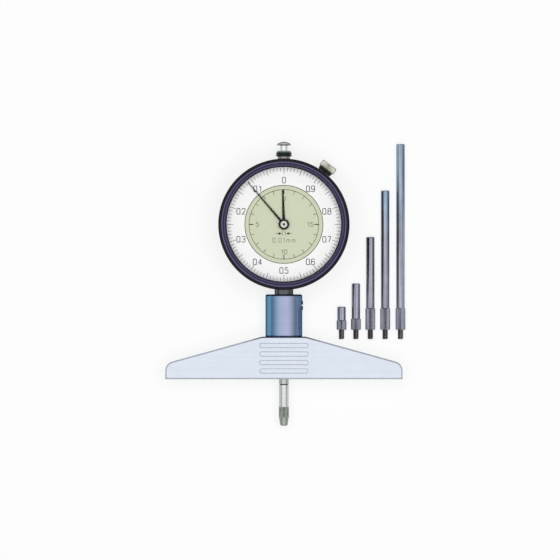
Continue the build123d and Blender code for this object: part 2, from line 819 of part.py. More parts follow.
slot_bottom = pin_height - pin_dia / 2 - rail_below_pin
slot_top = pin_height + spindle_stroke + pin_dia / 2 + rail_above_pin
rail_top = pin_dia / 2 + rail_side_wall
with BuildPart() as guide_rail:
    with BuildSketch(along_x(rail_left, (slot_bottom + slot_top) / 2)):
        with Locations((0, (rear_plate_front + rail_top) / 2)):
            Rectangle(slot_top - slot_bottom + 2 * rail_end_wall, rail_top - rear_plate_front)
        Rectangle(slot_top - slot_bottom, pin_dia + 2 * running_gap, mode=Mode.SUBTRACT)
    extrude(amount=rail_width)
keep(guide_rail, "guide_rail")

# Rear plate with the pillars that carry the front plate and the bridge
pillar_places = [round_dial(pillar_circle_dia / 2, angle) for angle in pillar_angles]
bridge_places = [(-bridge_pillar_span / 2, bridge_pillar_rise), (bridge_pillar_span / 2, bridge_pillar_rise)]
with BuildPart() as rear_plate:
    with BuildSketch(at_dial(rear_plate_back)):
        Circle(rear_plate_dia / 2)
        with Locations(*pillar_places, *bridge_places):
            Circle(pillar_rivet_dia / 2 + seat_gap, mode=Mode.SUBTRACT)
        with Locations(drive_place):
            Circle(bush_dia / 2 + seat_gap, mode=Mode.SUBTRACT)
        with Locations((spring_offset, spring_post_height - dial_height)):
            Circle(spring_post_rivet_dia / 2 + seat_gap, mode=Mode.SUBTRACT)
        with Locations((-plate_slot_offset, -plate_slot_drop), (plate_slot_offset, -plate_slot_drop)):
            SlotOverall(plate_slot_length, plate_slot_width, rotation=90, mode=Mode.SUBTRACT)
    extrude(amount=plate_thickness)
keep(rear_plate, "rear_plate")

with BuildPart() as plate_pillars:
    with BuildSketch(at_dial(rear_plate_back)):
        with Locations(*pillar_places, *bridge_places):
            Circle(pillar_rivet_dia / 2)
    extrude(amount=plate_thickness)
    with BuildSketch(at_dial(rear_plate_front)):
        with Locations(*pillar_places):
            Circle(pillar_dia / 2)
    extrude(amount=front_plate_back - rear_plate_front)
    with BuildSketch(at_dial(rear_plate_front)):
        with Locations(*bridge_places):
            Circle(bridge_pillar_dia / 2)
    extrude(amount=bridge_back - rear_plate_front)
    with BuildSketch(at_dial(front_plate_back)):
        with Locations(*pillar_places):
            Circle(plate_screw_dia / 2 + seat_gap)
    extrude(amount=-plate_screw_reach, mode=Mode.SUBTRACT)
    with BuildSketch(at_dial(bridge_back)):
        with Locations(*bridge_places):
            Circle(plate_screw_dia / 2 + seat_gap)
    extrude(amount=-plate_screw_reach, mode=Mode.SUBTRACT)
keep(plate_pillars, "plate_pillars")

# Bridge over the spindle, which carries the rear pivots of the centre and hairspring shafts
with BuildPart() as movement_bridge:
    with BuildSketch(at_dial(bridge_back)):
        with Locations((0, bridge_pillar_rise)):
            SlotCenterToCenter(bridge_pillar_span, bridge_width)
        with Locations((hairspring_place[0] / 2, hairspring_place[1] / 2)):
            SlotCenterToCenter(gear_centres, bridge_width, rotation=drive_direction)
        with Locations((0, 0), hairspring_place):
            Circle(bush_dia / 2 + seat_gap, mode=Mode.SUBTRACT)
        with Locations(*bridge_places):
            Circle(plate_screw_dia / 2 + seat_gap, mode=Mode.SUBTRACT)
    extrude(amount=plate_thickness)
keep(movement_bridge, "movement_bridge")

# Front plate on the case's ledge
with BuildPart() as front_plate:
    with BuildSketch(at_dial(front_plate_back)):
        Circle(bore - tip_gap / 2)
        with Locations((0, 0), drive_place, hairspring_place):
            Circle(bush_dia / 2 + seat_gap, mode=Mode.SUBTRACT)
        with Locations(*pillar_places, *ledge_places):
            Circle(plate_screw_dia / 2 + seat_gap, mode=Mode.SUBTRACT)
    extrude(amount=front_plate_thickness)
keep(front_plate, "front_plate")

# Screws that hold the front plate and the bridge
with BuildPart() as plate_screws:
    for places, seat in ((pillar_places + ledge_places, front_plate_front), (bridge_places, bridge_front)):
        plate = front_plate_thickness if seat == front_plate_front else plate_thickness
        with BuildSketch(at_dial(seat)):
            with Locations(*places):
                Circle(plate_screw_head_dia / 2)
        extrude(amount=plate_screw_head)
        with BuildSketch(at_dial(seat + plate_screw_head)):
            with Locations(*places):
                Rectangle(plate_screw_head_dia, plate_screw_slot)
        extrude(amount=-plate_screw_head / 2, mode=Mode.SUBTRACT)
        with BuildSketch(at_dial(seat)):
            with Locations(*places):
                Circle(plate_screw_dia / 2)
        extrude(amount=-plate - plate_screw_reach + plate_screw_end_gap)
keep(plate_screws, "plate_screws")

# Flanged bushes for the shafts, in the rear plate, the bridge and the front plate
with BuildPart() as shaft_bushes:
    bush_seats = (
        (drive_place, rear_plate_back, plate_thickness, pivot_dia),
        (drive_place, front_plate_back, front_plate_thickness, drive_shaft_dia),
        ((0, 0), bridge_back, plate_thickness, pivot_dia),
        ((0, 0), front_plate_back, front_plate_thickness, centre_shaft_dia),
        (hairspring_place, bridge_back, plate_thickness, pivot_dia),
        (hairspring_place, front_plate_back, front_plate_thickness, pivot_dia),
    )
    for place, seat, thickness, shaft in bush_seats:
        with BuildSketch(at_dial(seat)):
            with Locations(place):
                Circle(bush_dia / 2)
                Circle(shaft / 2 + running_gap, mode=Mode.SUBTRACT)
        extrude(amount=thickness)
keep(shaft_bushes, "shaft_bushes")

# Drive shaft with the pinion that meshes with the rack
with BuildPart() as drive_arbor:
    with BuildSketch(at_point(drive_centre, rear_plate_back)):
        Circle(pivot_dia / 2)
    extrude(amount=plate_thickness + face_gap)
    with BuildSketch(at_point(drive_centre, rear_plate_front + face_gap)):
        Circle(drive_shaft_dia / 2)
    extrude(amount=count_wheel_back + wheel_thickness + face_gap - rear_plate_front)
    with BuildSketch(at_point(drive_centre, -drive_pinion_width / 2)):
        with BuildLine():
            corners = gear_outline(drive_pinion_teeth, drive_module, gear_addendum, pinion_dedendum, 0)
            Polyline(*corners, close=True)
        make_face()
    extrude(amount=drive_pinion_width)
keep(drive_arbor, "drive_arbor")


def fine_wheel(centre, shaft, first_tooth):
    """Thin wheel with a hundred teeth, lightening holes and a hub bored for its shaft."""
    with BuildPart() as wheel:
        with BuildSketch(at_point(centre, wheel_back)):
            with BuildLine():
                corners = wheel_outline(wheel_teeth, wheel_module, wheel_addendum, gear_dedendum, first_tooth)
                Polyline(*corners, close=True)
            make_face()
            with PolarLocations(wheel_hole_circle, wheel_holes):
                Circle(wheel_hole_dia / 2, mode=Mode.SUBTRACT)
        extrude(amount=wheel_thickness)
        with BuildSketch(at_point(centre, wheel_back - wheel_hub_rise)):
            Circle(wheel_hub_dia / 2)
        extrude(amount=wheel_hub_rise + wheel_thickness)
        with BuildSketch(at_point(centre, wheel_back - wheel_hub_rise)):
            Circle(shaft / 2 + seat_gap / 2)
        extrude(amount=wheel_hub_rise + wheel_thickness, mode=Mode.SUBTRACT)
    return wheel


drive_wheel = fine_wheel(drive_centre, drive_shaft_dia, drive_direction)
keep(drive_wheel, "drive_wheel")

# Small wheel on the drive shaft that turns the count wheel
with BuildPart() as count_pinion:
    with BuildSketch(at_point(drive_centre, count_wheel_back)):
        with BuildLine():
            corners = gear_outline(
                count_pinion_teeth, count_module, gear_addendum, gear_dedendum, drive_direction
            )
            Polyline(*corners, close=True)
        make_face()
        Circle(drive_shaft_dia / 2 + seat_gap / 2, mode=Mode.SUBTRACT)
    extrude(amount=wheel_thickness)
keep(count_pinion, "count_pinion")

# Centre shaft with its pinion, which carries the pointer
pinion_back = bridge_front + face_gap + wheel_hub_gap
pinion_front = front_plate_back - pinion_below_plate
with BuildPart() as centre_arbor:
    with BuildSketch(at_dial(bridge_back)):
        Circle(pivot_dia / 2)
    extrude(amount=plate_thickness + face_gap)
    with BuildSketch(at_dial(bridge_front + face_gap)):
        Circle(centre_shaft_dia / 2)
    extrude(amount=shaft_top - bridge_front - face_gap)
    with BuildSketch(at_dial(pinion_back)):
        with BuildLine():
            first_tooth = toward_drive + half_turn / pinion_teeth
            Polyline(
                *gear_outline(pinion_teeth, wheel_module, gear_addendum, pinion_dedendum, first_tooth),
                close=True,
            )
        make_face()
    extrude(amount=pinion_front - pinion_back)
keep(centre_arbor, "centre_arbor")

# Count wheel on a tube that turns round the centre shaft
tube_bore = centre_shaft_dia / 2 + running_gap
tube_back = front_plate_front + face_gap
with BuildPart() as count_wheel:
    with BuildSketch(at_dial(count_wheel_back)):
        with BuildLine():
            first_tooth = toward_drive + half_turn / count_wheel_teeth
            Polyline(
                *gear_outline(count_wheel_teeth, count_module, gear_addendum, gear_dedendum, first_tooth),
                close=True,
            )
        make_face()
        with PolarLocations(count_hole_circle, count_holes):
            Circle(count_hole_dia / 2, mode=Mode.SUBTRACT)
    extrude(amount=wheel_thickness)
    with BuildSketch(at_dial(tube_back)):
        Circle(count_tube_dia / 2)
    extrude(amount=count_tube_top - tube_back)
    with BuildSketch(at_dial(tube_back)):
        Circle(tube_bore)
    extrude(amount=count_tube_top - tube_back, mode=Mode.SUBTRACT)
keep(count_wheel, "count_wheel")

# Hairspring wheel, shaft, collet, spring and stud: they take up the backlash of the train
hairspring_wheel = fine_wheel(hairspring_centre, drive_shaft_dia, toward_drive)
keep(hairspring_wheel, "hairspring_wheel")

with BuildPart() as hairspring_arbor:
    with BuildSketch(at_point(hairspring_centre, bridge_back)):
        Circle(pivot_dia / 2)
    extrude(amount=front_plate_front - bridge_back)
    with BuildSketch(at_point(hairspring_centre, bridge_front + face_gap)):
        Circle(drive_shaft_dia / 2)
    extrude(amount=front_plate_back - bridge_front - 2 * face_gap)
keep(hairspring_arbor, "hairspring_arbor")

with BuildPart() as hairspring_collet:
    with BuildSketch(at_point(hairspring_centre, hairspring_back)):
        Circle(collet_dia / 2)
        Circle(drive_shaft_dia / 2 + seat_gap / 2, mode=Mode.SUBTRACT)
    extrude(amount=hairspring_width)
keep(hairspring_collet, "hairspring_collet")

# The spiral is made of half turns about two centres half a pitch apart
spiral_start = collet_dia / 2 + face_gap
spiral_end = spiral_start + hairspring_turns * hairspring_pitch
with BuildPart() as hairspring:
    with BuildSketch(at_point(hairspring_centre, hairspring_back)):
        with BuildLine():
            for half in range(2 * hairspring_turns):
                centre = (half % 2 * hairspring_pitch / 2, 0)
                inner = spiral_start + half * hairspring_pitch / 2
                start = half % 2 * half_turn
                CenterArc(centre, inner, start, half_turn)
                CenterArc(centre, inner + hairspring_strip, start, half_turn)
            Line((spiral_start, 0), (spiral_start + hairspring_strip, 0))
            Line((spiral_end, 0), (spiral_end + hairspring_strip, 0))
        make_face()
    extrude(amount=hairspring_width)
keep(hairspring, "hairspring")

stud_offset = spiral_end + hairspring_strip + face_gap + stud_dia / 2
stud_place = (hairspring_centre[0] + stud_offset, hairspring_centre[1])
with BuildPart() as hairspring_stud:
    with BuildSketch(at_point(stud_place, hairspring_back)):
        Circle(stud_dia / 2)
    extrude(amount=front_plate_back - hairspring_back)
keep(hairspring_stud, "hairspring_stud")

# Return spring between its post on the rear plate and the guide pin
spring_bottom = spring_post_height + spring_post_dia / 2 + face_gap + spring_wire_dia / 2
spring_top_end = pin_height - pin_dia / 2 - face_gap - spring_wire_dia / 2
with BuildPart() as return_spring:
    with BuildLine() as coil:
        Helix(
            pitch=(spring_top_end - spring_bottom) / spring_turns,
            height=spring_top_end - spring_bottom,
            radius=spring_coil_dia / 2,
            center=(spring_offset, spring_bottom, 0),
            direction=(0, 1, 0),
        )
    with BuildSketch(Plane(origin=coil.line @ 0, z_dir=coil.line % 0)):
        Circle(spring_wire_dia / 2)
    sweep(is_frenet=True)
keep(return_spring, "return_spring")

with BuildPart() as spring_post:
    with BuildSketch(at_point((spring_offset, spring_post_height), rear_plate_back)):
        Circle(spring_post_rivet_dia / 2)
    extrude(amount=plate_thickness)
    with BuildSketch(at_point((spring_offset, spring_post_height), rear_plate_front)):
        Circle(spring_post_dia / 2)
    extrude(amount=spring_coil_dia / 2 + spring_wire_dia - rear_plate_front)
keep(spring_post, "spring_post")

# Fixed count dial on a spacer ring, with the scale ring round it that turns with the bezel
with BuildPart() as dial_spacer:
    with BuildSketch(at_dial(front_plate_front)):
        Circle(spacer_dia / 2)
        Circle(spacer_bore_dia / 2, mode=Mode.SUBTRACT)
    extrude(amount=dial_back - front_plate_front)
keep(dial_spacer, "dial_spacer")

with BuildPart() as count_dial:
    with BuildSketch(at_dial(dial_back)):
        Circle(count_dial_dia / 2)
        Circle(count_dial_bore_dia / 2, mode=Mode.SUBTRACT)
    extrude(amount=dial_thickness)
keep(count_dial, "count_dial")

with BuildPart() as scale_ring:
    with BuildSketch(at_dial(dial_back)):
        Circle(bezel_seat_dia / 2 - face_gap)
        Circle(scale_ring_bore_dia / 2, mode=Mode.SUBTRACT)
    extrude(amount=dial_thickness)
keep(scale_ring, "scale_ring")

# Hands: a long tapered pointer with its hub and cap, and a short count hand on the tube
with BuildPart() as pointer:
    with BuildSketch(at_dial(pointer_back)):
        Polygon(
            (0, -pointer_root_width / 2),
            (pointer_length, -pointer_tip_width / 2),
            (pointer_length, pointer_tip_width / 2),
            (0, pointer_root_width / 2),
            rotation=pointer_angle,
            align=None,
        )
    extrude(amount=hand_thickness)
    with BuildSketch(at_dial(pointer_back)):
        Circle(pointer_hub_dia / 2)
    extrude(amount=2 * hand_thickness)
    with BuildSketch(at_dial(pointer_back)):
        Circle(centre_shaft_dia / 2 + seat_gap / 2)
    extrude(amount=2 * hand_thickness, mode=Mode.SUBTRACT)
keep(pointer, "pointer")

with BuildPart() as pointer_cap:
    with BuildSketch(at_dial(pointer_back + 2 * hand_thickness)):
        Circle(pointer_cap_dia / 2)
        Circle(centre_shaft_dia / 2 + seat_gap / 2, mode=Mode.SUBTRACT)
    extrude(amount=hand_thickness)
    front_edge = edges().group_by(Axis.Z)[-1].sort_by(SortBy.LENGTH)[-1]
    chamfer(front_edge, length=hand_thickness / 2)
keep(pointer_cap, "pointer_cap")

with BuildPart() as count_hand:
    with BuildSketch(at_dial(count_hand_back)):
        Polygon(
            (0, -count_hand_root_width / 2),
            (count_hand_length, -count_hand_tip_width / 2),
            (count_hand_length, count_hand_tip_width / 2),
            (0, count_hand_root_width / 2),
            rotation=count_hand_angle,
            align=None,
        )
        Circle(count_hub_dia / 2)
        Circle(count_tube_dia / 2 + seat_gap / 2, mode=Mode.SUBTRACT)
    extrude(amount=hand_thickness)
keep(count_hand, "count_hand")

# Bezel: skirt on the case's rim, flange under the scale ring, grip groove, stepped front and inner lip
skirt_bore = bezel_bore_dia / 2
bezel_outer = bezel_dia / 2
sight = bezel_sight_dia / 2
skirt_groove = rim + wire_ring_dia / 2 + bezel_running_gap + wire_groove_depth_gap
grip_back = dial_back + bezel_groove_above_dial
step_level = bezel_front - bezel_step_drop
outer_round = bezel_outer - sight - bezel_step_end
with BuildPart() as bezel_ring:
    with BuildSketch(dial_section):
        with BuildLine():
            Polyline(
                (bezel_outer, step_level - outer_round),
                (bezel_outer, grip_back + bezel_groove_width),
                (bezel_outer - bezel_groove_depth, grip_back + bezel_groove_width / 2),
                (bezel_outer, grip_back),
                (bezel_outer, bezel_skirt_back + bezel_back_chamfer),
                (bezel_outer - bezel_back_chamfer, bezel_skirt_back),
                (skirt_bore, bezel_skirt_back),
                (skirt_bore, wire_ring_height - groove_half),
                (skirt_groove, wire_ring_height - groove_half),
                (skirt_groove, wire_ring_height + groove_half),
                (skirt_bore, wire_ring_height + groove_half),
                (skirt_bore, dial_back - bezel_flange_thickness),
                (bezel_flange_bore_dia / 2, dial_back - bezel_flange_thickness),
                (bezel_flange_bore_dia / 2, dial_back),
                (bezel_seat_dia / 2, dial_back),
                (bezel_seat_dia / 2, lip_back),
                (sight, lip_back),
                (sight, lip_back + bezel_lip_thickness),
            )
            TangentArc(
                (sight + bezel_crest, bezel_front),
                (sight, lip_back + bezel_lip_thickness),
                tangent=(-1, 0),
            )
            Polyline(
                (sight + bezel_crest, bezel_front),
                (sight + bezel_crest_edge, bezel_front - bezel_crest_fall),
                (sight + bezel_step_foot, step_level),
                (sight + bezel_step_end, step_level),
            )
            TangentArc(
                (sight + bezel_step_end, step_level),
                (bezel_outer, step_level - outer_round),
                tangent=(1, 0),
            )
        make_face()
    revolve(axis=dial_axis)
keep(bezel_ring, "bezel_ring")

# Split wire ring that holds the bezel on the rim and lets it turn
with BuildPart() as bezel_wire_ring:
    with BuildSketch(dial_section):
        with Locations(((rim + skirt_bore) / 2, wire_ring_height)):
            Circle(wire_ring_dia / 2)
    revolve(axis=dial_axis, revolution_arc=360 - wire_ring_gap_angle)
keep(bezel_wire_ring, "bezel_wire_ring")

# Domed crystal under the lip, and the gasket ring that holds it and the scale ring
crystal_radius = bezel_seat_dia / 2 - face_gap
dome_edge = sight - crystal_flat
with BuildPart() as crystal:
    with BuildSketch(dial_section):
        with BuildLine():
            Line((0, crystal_back + crystal_rise), (0, crystal_front + crystal_rise))
            TangentArc((0, crystal_front + crystal_rise), (dome_edge, crystal_front), tangent=(1, 0))
            Polyline(
                (dome_edge, crystal_front),
                (crystal_radius, crystal_front),
                (crystal_radius, crystal_back),
                (dome_edge, crystal_back),
            )
            TangentArc((0, crystal_back + crystal_rise), (dome_edge, crystal_back), tangent=(1, 0))
        make_face()
    revolve(axis=dial_axis)
keep(crystal, "crystal")

with BuildPart() as crystal_gasket:
    with BuildSketch(at_dial(dial_front + face_gap)):
        Circle(crystal_radius)
        Circle(crystal_radius - gasket_width, mode=Mode.SUBTRACT)
    extrude(amount=crystal_back - dial_front - 2 * face_gap)
keep(crystal_gasket, "crystal_gasket")

# Bezel clamp: a shoe drawn against the bezel's skirt, and the grooved knob on its screw
shoe_inner = max(lug_radius, bezel_outer) + clamp_travel + face_gap
shoe_outer = shoe_inner + clamp_shoe_thickness
shoe_bottom = clamp_axis_height - case_shoulder
shoe_top = dial_back - clamp_shoe_below_dial - clamp_axis_height
with BuildPart() as clamp_shoe:
    with BuildSketch(clamp_plane.offset(shoe_inner)):
        with Locations((0, (shoe_bottom + shoe_top) / 2)):
            RectangleRounded(clamp_width, shoe_top - shoe_bottom, clamp_shoe_radius)
        Circle(clamp_screw_dia / 2 + 2 * running_gap, mode=Mode.SUBTRACT)
    extrude(amount=clamp_shoe_thickness)
keep(clamp_shoe, "clamp_shoe")

knob_inner = shoe_outer + face_gap
with BuildPart() as clamp_knob:
    with BuildSketch(clamp_plane.offset(knob_inner)):
        Circle(clamp_knob_dia / 2)
    extrude(amount=clamp_knob_length)
    chamfer(edges().filter_by(GeomType.CIRCLE), length=clamp_knob_chamfer)
    with BuildSketch(clamp_plane.offset(knob_inner)):
        with PolarLocations(clamp_knob_dia / 2, clamp_knob_grooves):
            RegularPolygon(clamp_groove_depth, 4)
    extrude(amount=clamp_knob_length, mode=Mode.SUBTRACT)
    with BuildSketch(clamp_plane.offset(knob_inner)):
        Circle(clamp_screw_dia / 2 + seat_gap)
    extrude(amount=clamp_screw_seat, mode=Mode.SUBTRACT)
keep(clamp_knob, "clamp_knob")

screw_tip = bore + clamp_screw_end
with BuildPart() as clamp_screw:
    with BuildSketch(clamp_plane.offset(screw_tip)):
        Circle(clamp_screw_dia / 2)
    extrude(amount=knob_inner + clamp_screw_seat - face_gap - screw_tip)
keep(clamp_screw, "clamp_screw")

# Extension rods, lying beside the gauge: a threaded spigot, a knurled grip, a plain rod and a socket
for length, place, knurl in zip(rod_lengths, rod_places, rod_knurls):
    with BuildPart() as rod:
        with BuildSketch(Plane(origin=(place, 0, rod_level))):
            with BuildLine():
                shoulder = rod_bottom + rod_thread_length
                Polyline(
                    (0, rod_bottom),
                    (rod_thread_dia / 2 - rod_edge_chamfer, rod_bottom),
                    (rod_thread_dia / 2, rod_bottom + rod_edge_chamfer),
                    (rod_thread_dia / 2, shoulder),
                    (rod_knurl_dia / 2 - rod_edge_chamfer, shoulder),
                    (rod_knurl_dia / 2, shoulder + rod_edge_chamfer),
                    (rod_knurl_dia / 2, shoulder + knurl - rod_edge_chamfer),
                    (rod_dia / 2, shoulder + knurl),
                    (rod_dia / 2, shoulder + length - rod_edge_chamfer),
                    (rod_dia / 2 - rod_edge_chamfer, shoulder + length),
                    (rod_thread_dia / 2, shoulder + length),
                    (rod_thread_dia / 2, shoulder + length - rod_socket_depth),
                    (0, shoulder + length - rod_socket_depth - rod_thread_dia / 4),
                    close=True,
                )
            make_face()
        revolve(axis=Axis((place, 0, rod_level), (0, 1, 0)))
    keep(rod, f"rod_{length:.0f}")
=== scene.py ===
from math import atan2, cos, hypot, pi, radians, sin

import bmesh
import bpy
from mathutils import Matrix, Vector


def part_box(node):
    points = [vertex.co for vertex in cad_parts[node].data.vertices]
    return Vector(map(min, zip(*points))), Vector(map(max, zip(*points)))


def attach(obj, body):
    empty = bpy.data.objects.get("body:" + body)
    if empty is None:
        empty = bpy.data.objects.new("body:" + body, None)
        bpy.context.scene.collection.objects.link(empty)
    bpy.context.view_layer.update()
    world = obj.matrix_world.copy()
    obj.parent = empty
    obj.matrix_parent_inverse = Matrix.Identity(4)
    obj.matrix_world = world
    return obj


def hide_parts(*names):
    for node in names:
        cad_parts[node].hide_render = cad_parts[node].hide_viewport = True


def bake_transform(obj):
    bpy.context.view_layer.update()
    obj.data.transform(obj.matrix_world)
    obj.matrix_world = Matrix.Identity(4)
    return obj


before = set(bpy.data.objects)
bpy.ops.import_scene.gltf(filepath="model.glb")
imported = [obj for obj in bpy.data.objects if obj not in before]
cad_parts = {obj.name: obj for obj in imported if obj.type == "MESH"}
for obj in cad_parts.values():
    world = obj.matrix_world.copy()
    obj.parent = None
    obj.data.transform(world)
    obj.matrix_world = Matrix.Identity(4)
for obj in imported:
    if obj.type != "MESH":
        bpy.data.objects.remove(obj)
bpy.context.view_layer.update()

# Dial depth gauge on its back, seen from straight above, with its extension rods. Sizes are in metres, the
# small ones as so many MM.
MM = 0.001

# Camera: a long lens above the gauge, looking straight down at the dial
view_centre = (-1.67 * MM, 42.47 * MM)
view_width = 240.5 * MM
camera_height = 2.4
camera_reach = 20.0
sensor_width = 36.0

# Light: a ring of soft lamps round the camera, brighter on the right by the side share, and the room's level
lamp_count = 6
lamp_tilt = radians(18)
lamp_size = 0.4
lamp_power = 1.6
lamp_side_share = 0.15
lamp_distance = 1.1
world_level = 0.3

# What metal and glass mirror: a room that is dark at the horizon and white overhead
horizon_level = 0.08
zenith_level = 1.0
zenith_height = 0.85

# Table: its grey under the lamps, and the share of its own shading that the camera sees
table_half_width = 2.5
table_grey = 0.9
table_shading = 0.22

# Making of turned pieces: a rounding takes at most rounding_room of the shorter stretch beside it
rounding_segments = 4
rounding_room = 0.45
weld_distance = 1e-7
surface_distance = 2e-6
smooth_angle = radians(32)

# Roundings of small edges
crisp_edge = 0.04 * MM
fine_edge = 0.05 * MM
rubbed_edge = 0.06 * MM
eased_edge = 0.08 * MM
soft_edge = 0.12 * MM

# Bezel ring: widths are from its outside or its sight edge, and drops are from its front
bezel_steps = 288
bezel_rim = 2.37 * MM
bezel_wall = 3.65 * MM
bezel_back_chamfer = 0.3 * MM
bezel_groove_rise = 0.5 * MM
bezel_groove_depth = 0.35 * MM
bezel_shoulder_drop = 0.7 * MM
bezel_shoulder_rounding = 1.05 * MM
bezel_step_end = 2.55 * MM
bezel_step_foot = 2.2 * MM
bezel_step_drop = 0.75 * MM
bezel_crest_edge = 1.7 * MM
bezel_crest_fall = 0.1 * MM
bezel_crest = 1.2 * MM
bezel_crest_rounding = 0.3 * MM
bezel_brow = 0.35 * MM
bezel_brow_drop = 0.45 * MM
bezel_nose_drop = 1.1 * MM
bezel_lip_drop = 1.9 * MM
bezel_edge_rounding = 0.1 * MM
crystal_gap = 0.03 * MM

# Diamond knurls
knurl_row = 0.35 * MM
contact_knurl_depth = 0.16 * MM
rod_knurl_depth = 0.128 * MM

# Contact point
contact_steps = 40
contact_nose_length = 3.56 * MM
contact_nose_radius = 1.55 * MM
contact_nose_rounding = 0.6 * MM
contact_knurl_length = 4.6 * MM
contact_knurl_chamfer = 0.2 * MM
contact_knurl_rounding = 0.1 * MM
contact_shank_radius = 1.95 * MM
contact_shank_rounding = 0.15 * MM
contact_shank_gap = 0.05 * MM
contact_thread_radius = 1.25 * MM
contact_thread_rounding = 0.2 * MM

# Extension rods
rod_steps = 60
rod_knurls = {
    "rod_10": 4.2 * MM, "rod_20": 4.9 * MM, "rod_40": 9.4 * MM, "rod_60": 9.4 * MM, "rod_80": 9.4 * MM,
}
rod_radius = 1.8 * MM
rod_chamfer = 0.3 * MM
rod_thread_radius = 1.25 * MM
rod_thread_length = 4.0 * MM
rod_thread_pitch = 0.45 * MM
rod_thread_depth = 0.24 * MM
rod_thread_rows = 6
rod_socket_depth = 4.6 * MM
rod_socket_point = 0.625 * MM

# Clamp knob: its heights are from the dial's centre, along the clamp's axis
clamp_angle = radians(52.5)
clamp_knob_steps = 128
clamp_knob_radius = 3.65 * MM
clamp_knob_inner = 28.95 * MM
clamp_knob_length = 3.65 * MM
clamp_neck_radius = 3.2 * MM
clamp_neck_outer = 29.75 * MM
clamp_neck_chamfer = 0.1 * MM
clamp_neck_ridge_depth = 0.2 * MM
clamp_head_inset = 0.2 * MM
clamp_ridge_start = 0.3 * MM
clamp_ridge_end = 0.5 * MM
clamp_ridge_depth = 0.16 * MM
clamp_dome_inset = 0.12 * MM
clamp_dome_drop = 0.25 * MM
clamp_dome_rounding = 0.1 * MM
clamp_face_inset = 0.5 * MM
clamp_face_rounding = 0.25 * MM
clamp_bore_radius = 1.53 * MM
clamp_bore_depth = 2.0 * MM

# Dust collar: the groove's heights are from its foot
collar_steps = 120
collar_bore = 2.15 * MM
collar_foot_radius = 2.85 * MM
collar_rim_inset = 0.2 * MM
collar_groove_heights = (0.6 * MM, 0.8 * MM, 1.0 * MM, 1.2 * MM)
collar_shoulder = 0.4 * MM
collar_shoulder_drop = 0.28 * MM
collar_top_inset = 0.7 * MM

# Print: how far the ink stands out of a dial and goes into it
ink_rise = 0.03 * MM
ink_root = 0.015 * MM
stroke_segments = 3
circle_points = 120

# White scale ring: radii are from the dial's centre, and gaps are shares of a figure's height
scale_divisions = 100
scale_group = 5
scale_figure_count = 10
tick_outer = 24.2 * MM
tick_minor = 22.6 * MM
tick_major = 21.7 * MM
tick_minor_line = 0.17 * MM
tick_major_line = 0.204 * MM
figure_radius = 19.3 * MM
figure_drop = 0.4 * MM
figure_height = 2.45 * MM
figure_line = 0.32 * MM
figure_gap = 0.17

# Green count dial
count_divisions = 20
count_circle = 14.88 * MM
count_tick = 1.6 * MM
count_line = 0.24 * MM
count_long_tick = 1.84 * MM
count_long_line = 0.408 * MM
count_edge_inset = 0.1 * MM
count_edge_line = 0.2 * MM
count_radii = {"0": 10.9 * MM, "5": 11.3 * MM, "10": 11.7 * MM, "15": 11.2 * MM}
count_height = 1.8 * MM
count_figure_line = 0.2 * MM
count_stretch = 1.2
count_gap = 0.3

# Unit of a division under the dial's centre, and the two arrows that mark one division
unit_y = -6.76 * MM
unit_height = 1.95 * MM
unit_line = 0.16 * MM
unit_gap = 0.4
arrow_y = -3.9 * MM
arrow_bar = 0.62 * MM
arrow_bar_half = 0.9 * MM
arrow_bar_line = 0.18 * MM
arrow_tip = 0.95 * MM
arrow_back = 2.3 * MM
arrow_half = 0.6 * MM
arrow_tail = 3.45 * MM
arrow_tail_line = 0.22 * MM


def low(node):
    """Lowest corner of a CAD node."""
    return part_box(node)[0]


def high(node):
    """Highest corner of a CAD node."""
    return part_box(node)[1]


def half_width(node):
    """Half of a CAD node's size across the gauge."""
    return (high(node).x - low(node).x) / 2


# Places of the pieces' own axes, read from the frame
along_spindle = Matrix.Rotation(-pi / 2, 4, "X")
along_rods = Matrix.Rotation(pi / 2, 4, "Z")
dial_y = (low("bezel_ring").y + high("bezel_ring").y) / 2
dial_place = Matrix.Translation((0, dial_y, 0))
clamp_height = (low("clamp_screw").z + high("clamp_screw").z) / 2
clamp_axis = Vector((cos(clamp_angle), sin(clamp_angle), 0))
clamp_turn = clamp_axis.to_track_quat("Z", "Y").to_matrix().to_4x4()
clamp_place = Matrix.Translation((0, dial_y, clamp_height)) @ clamp_turn


# Shader nodes


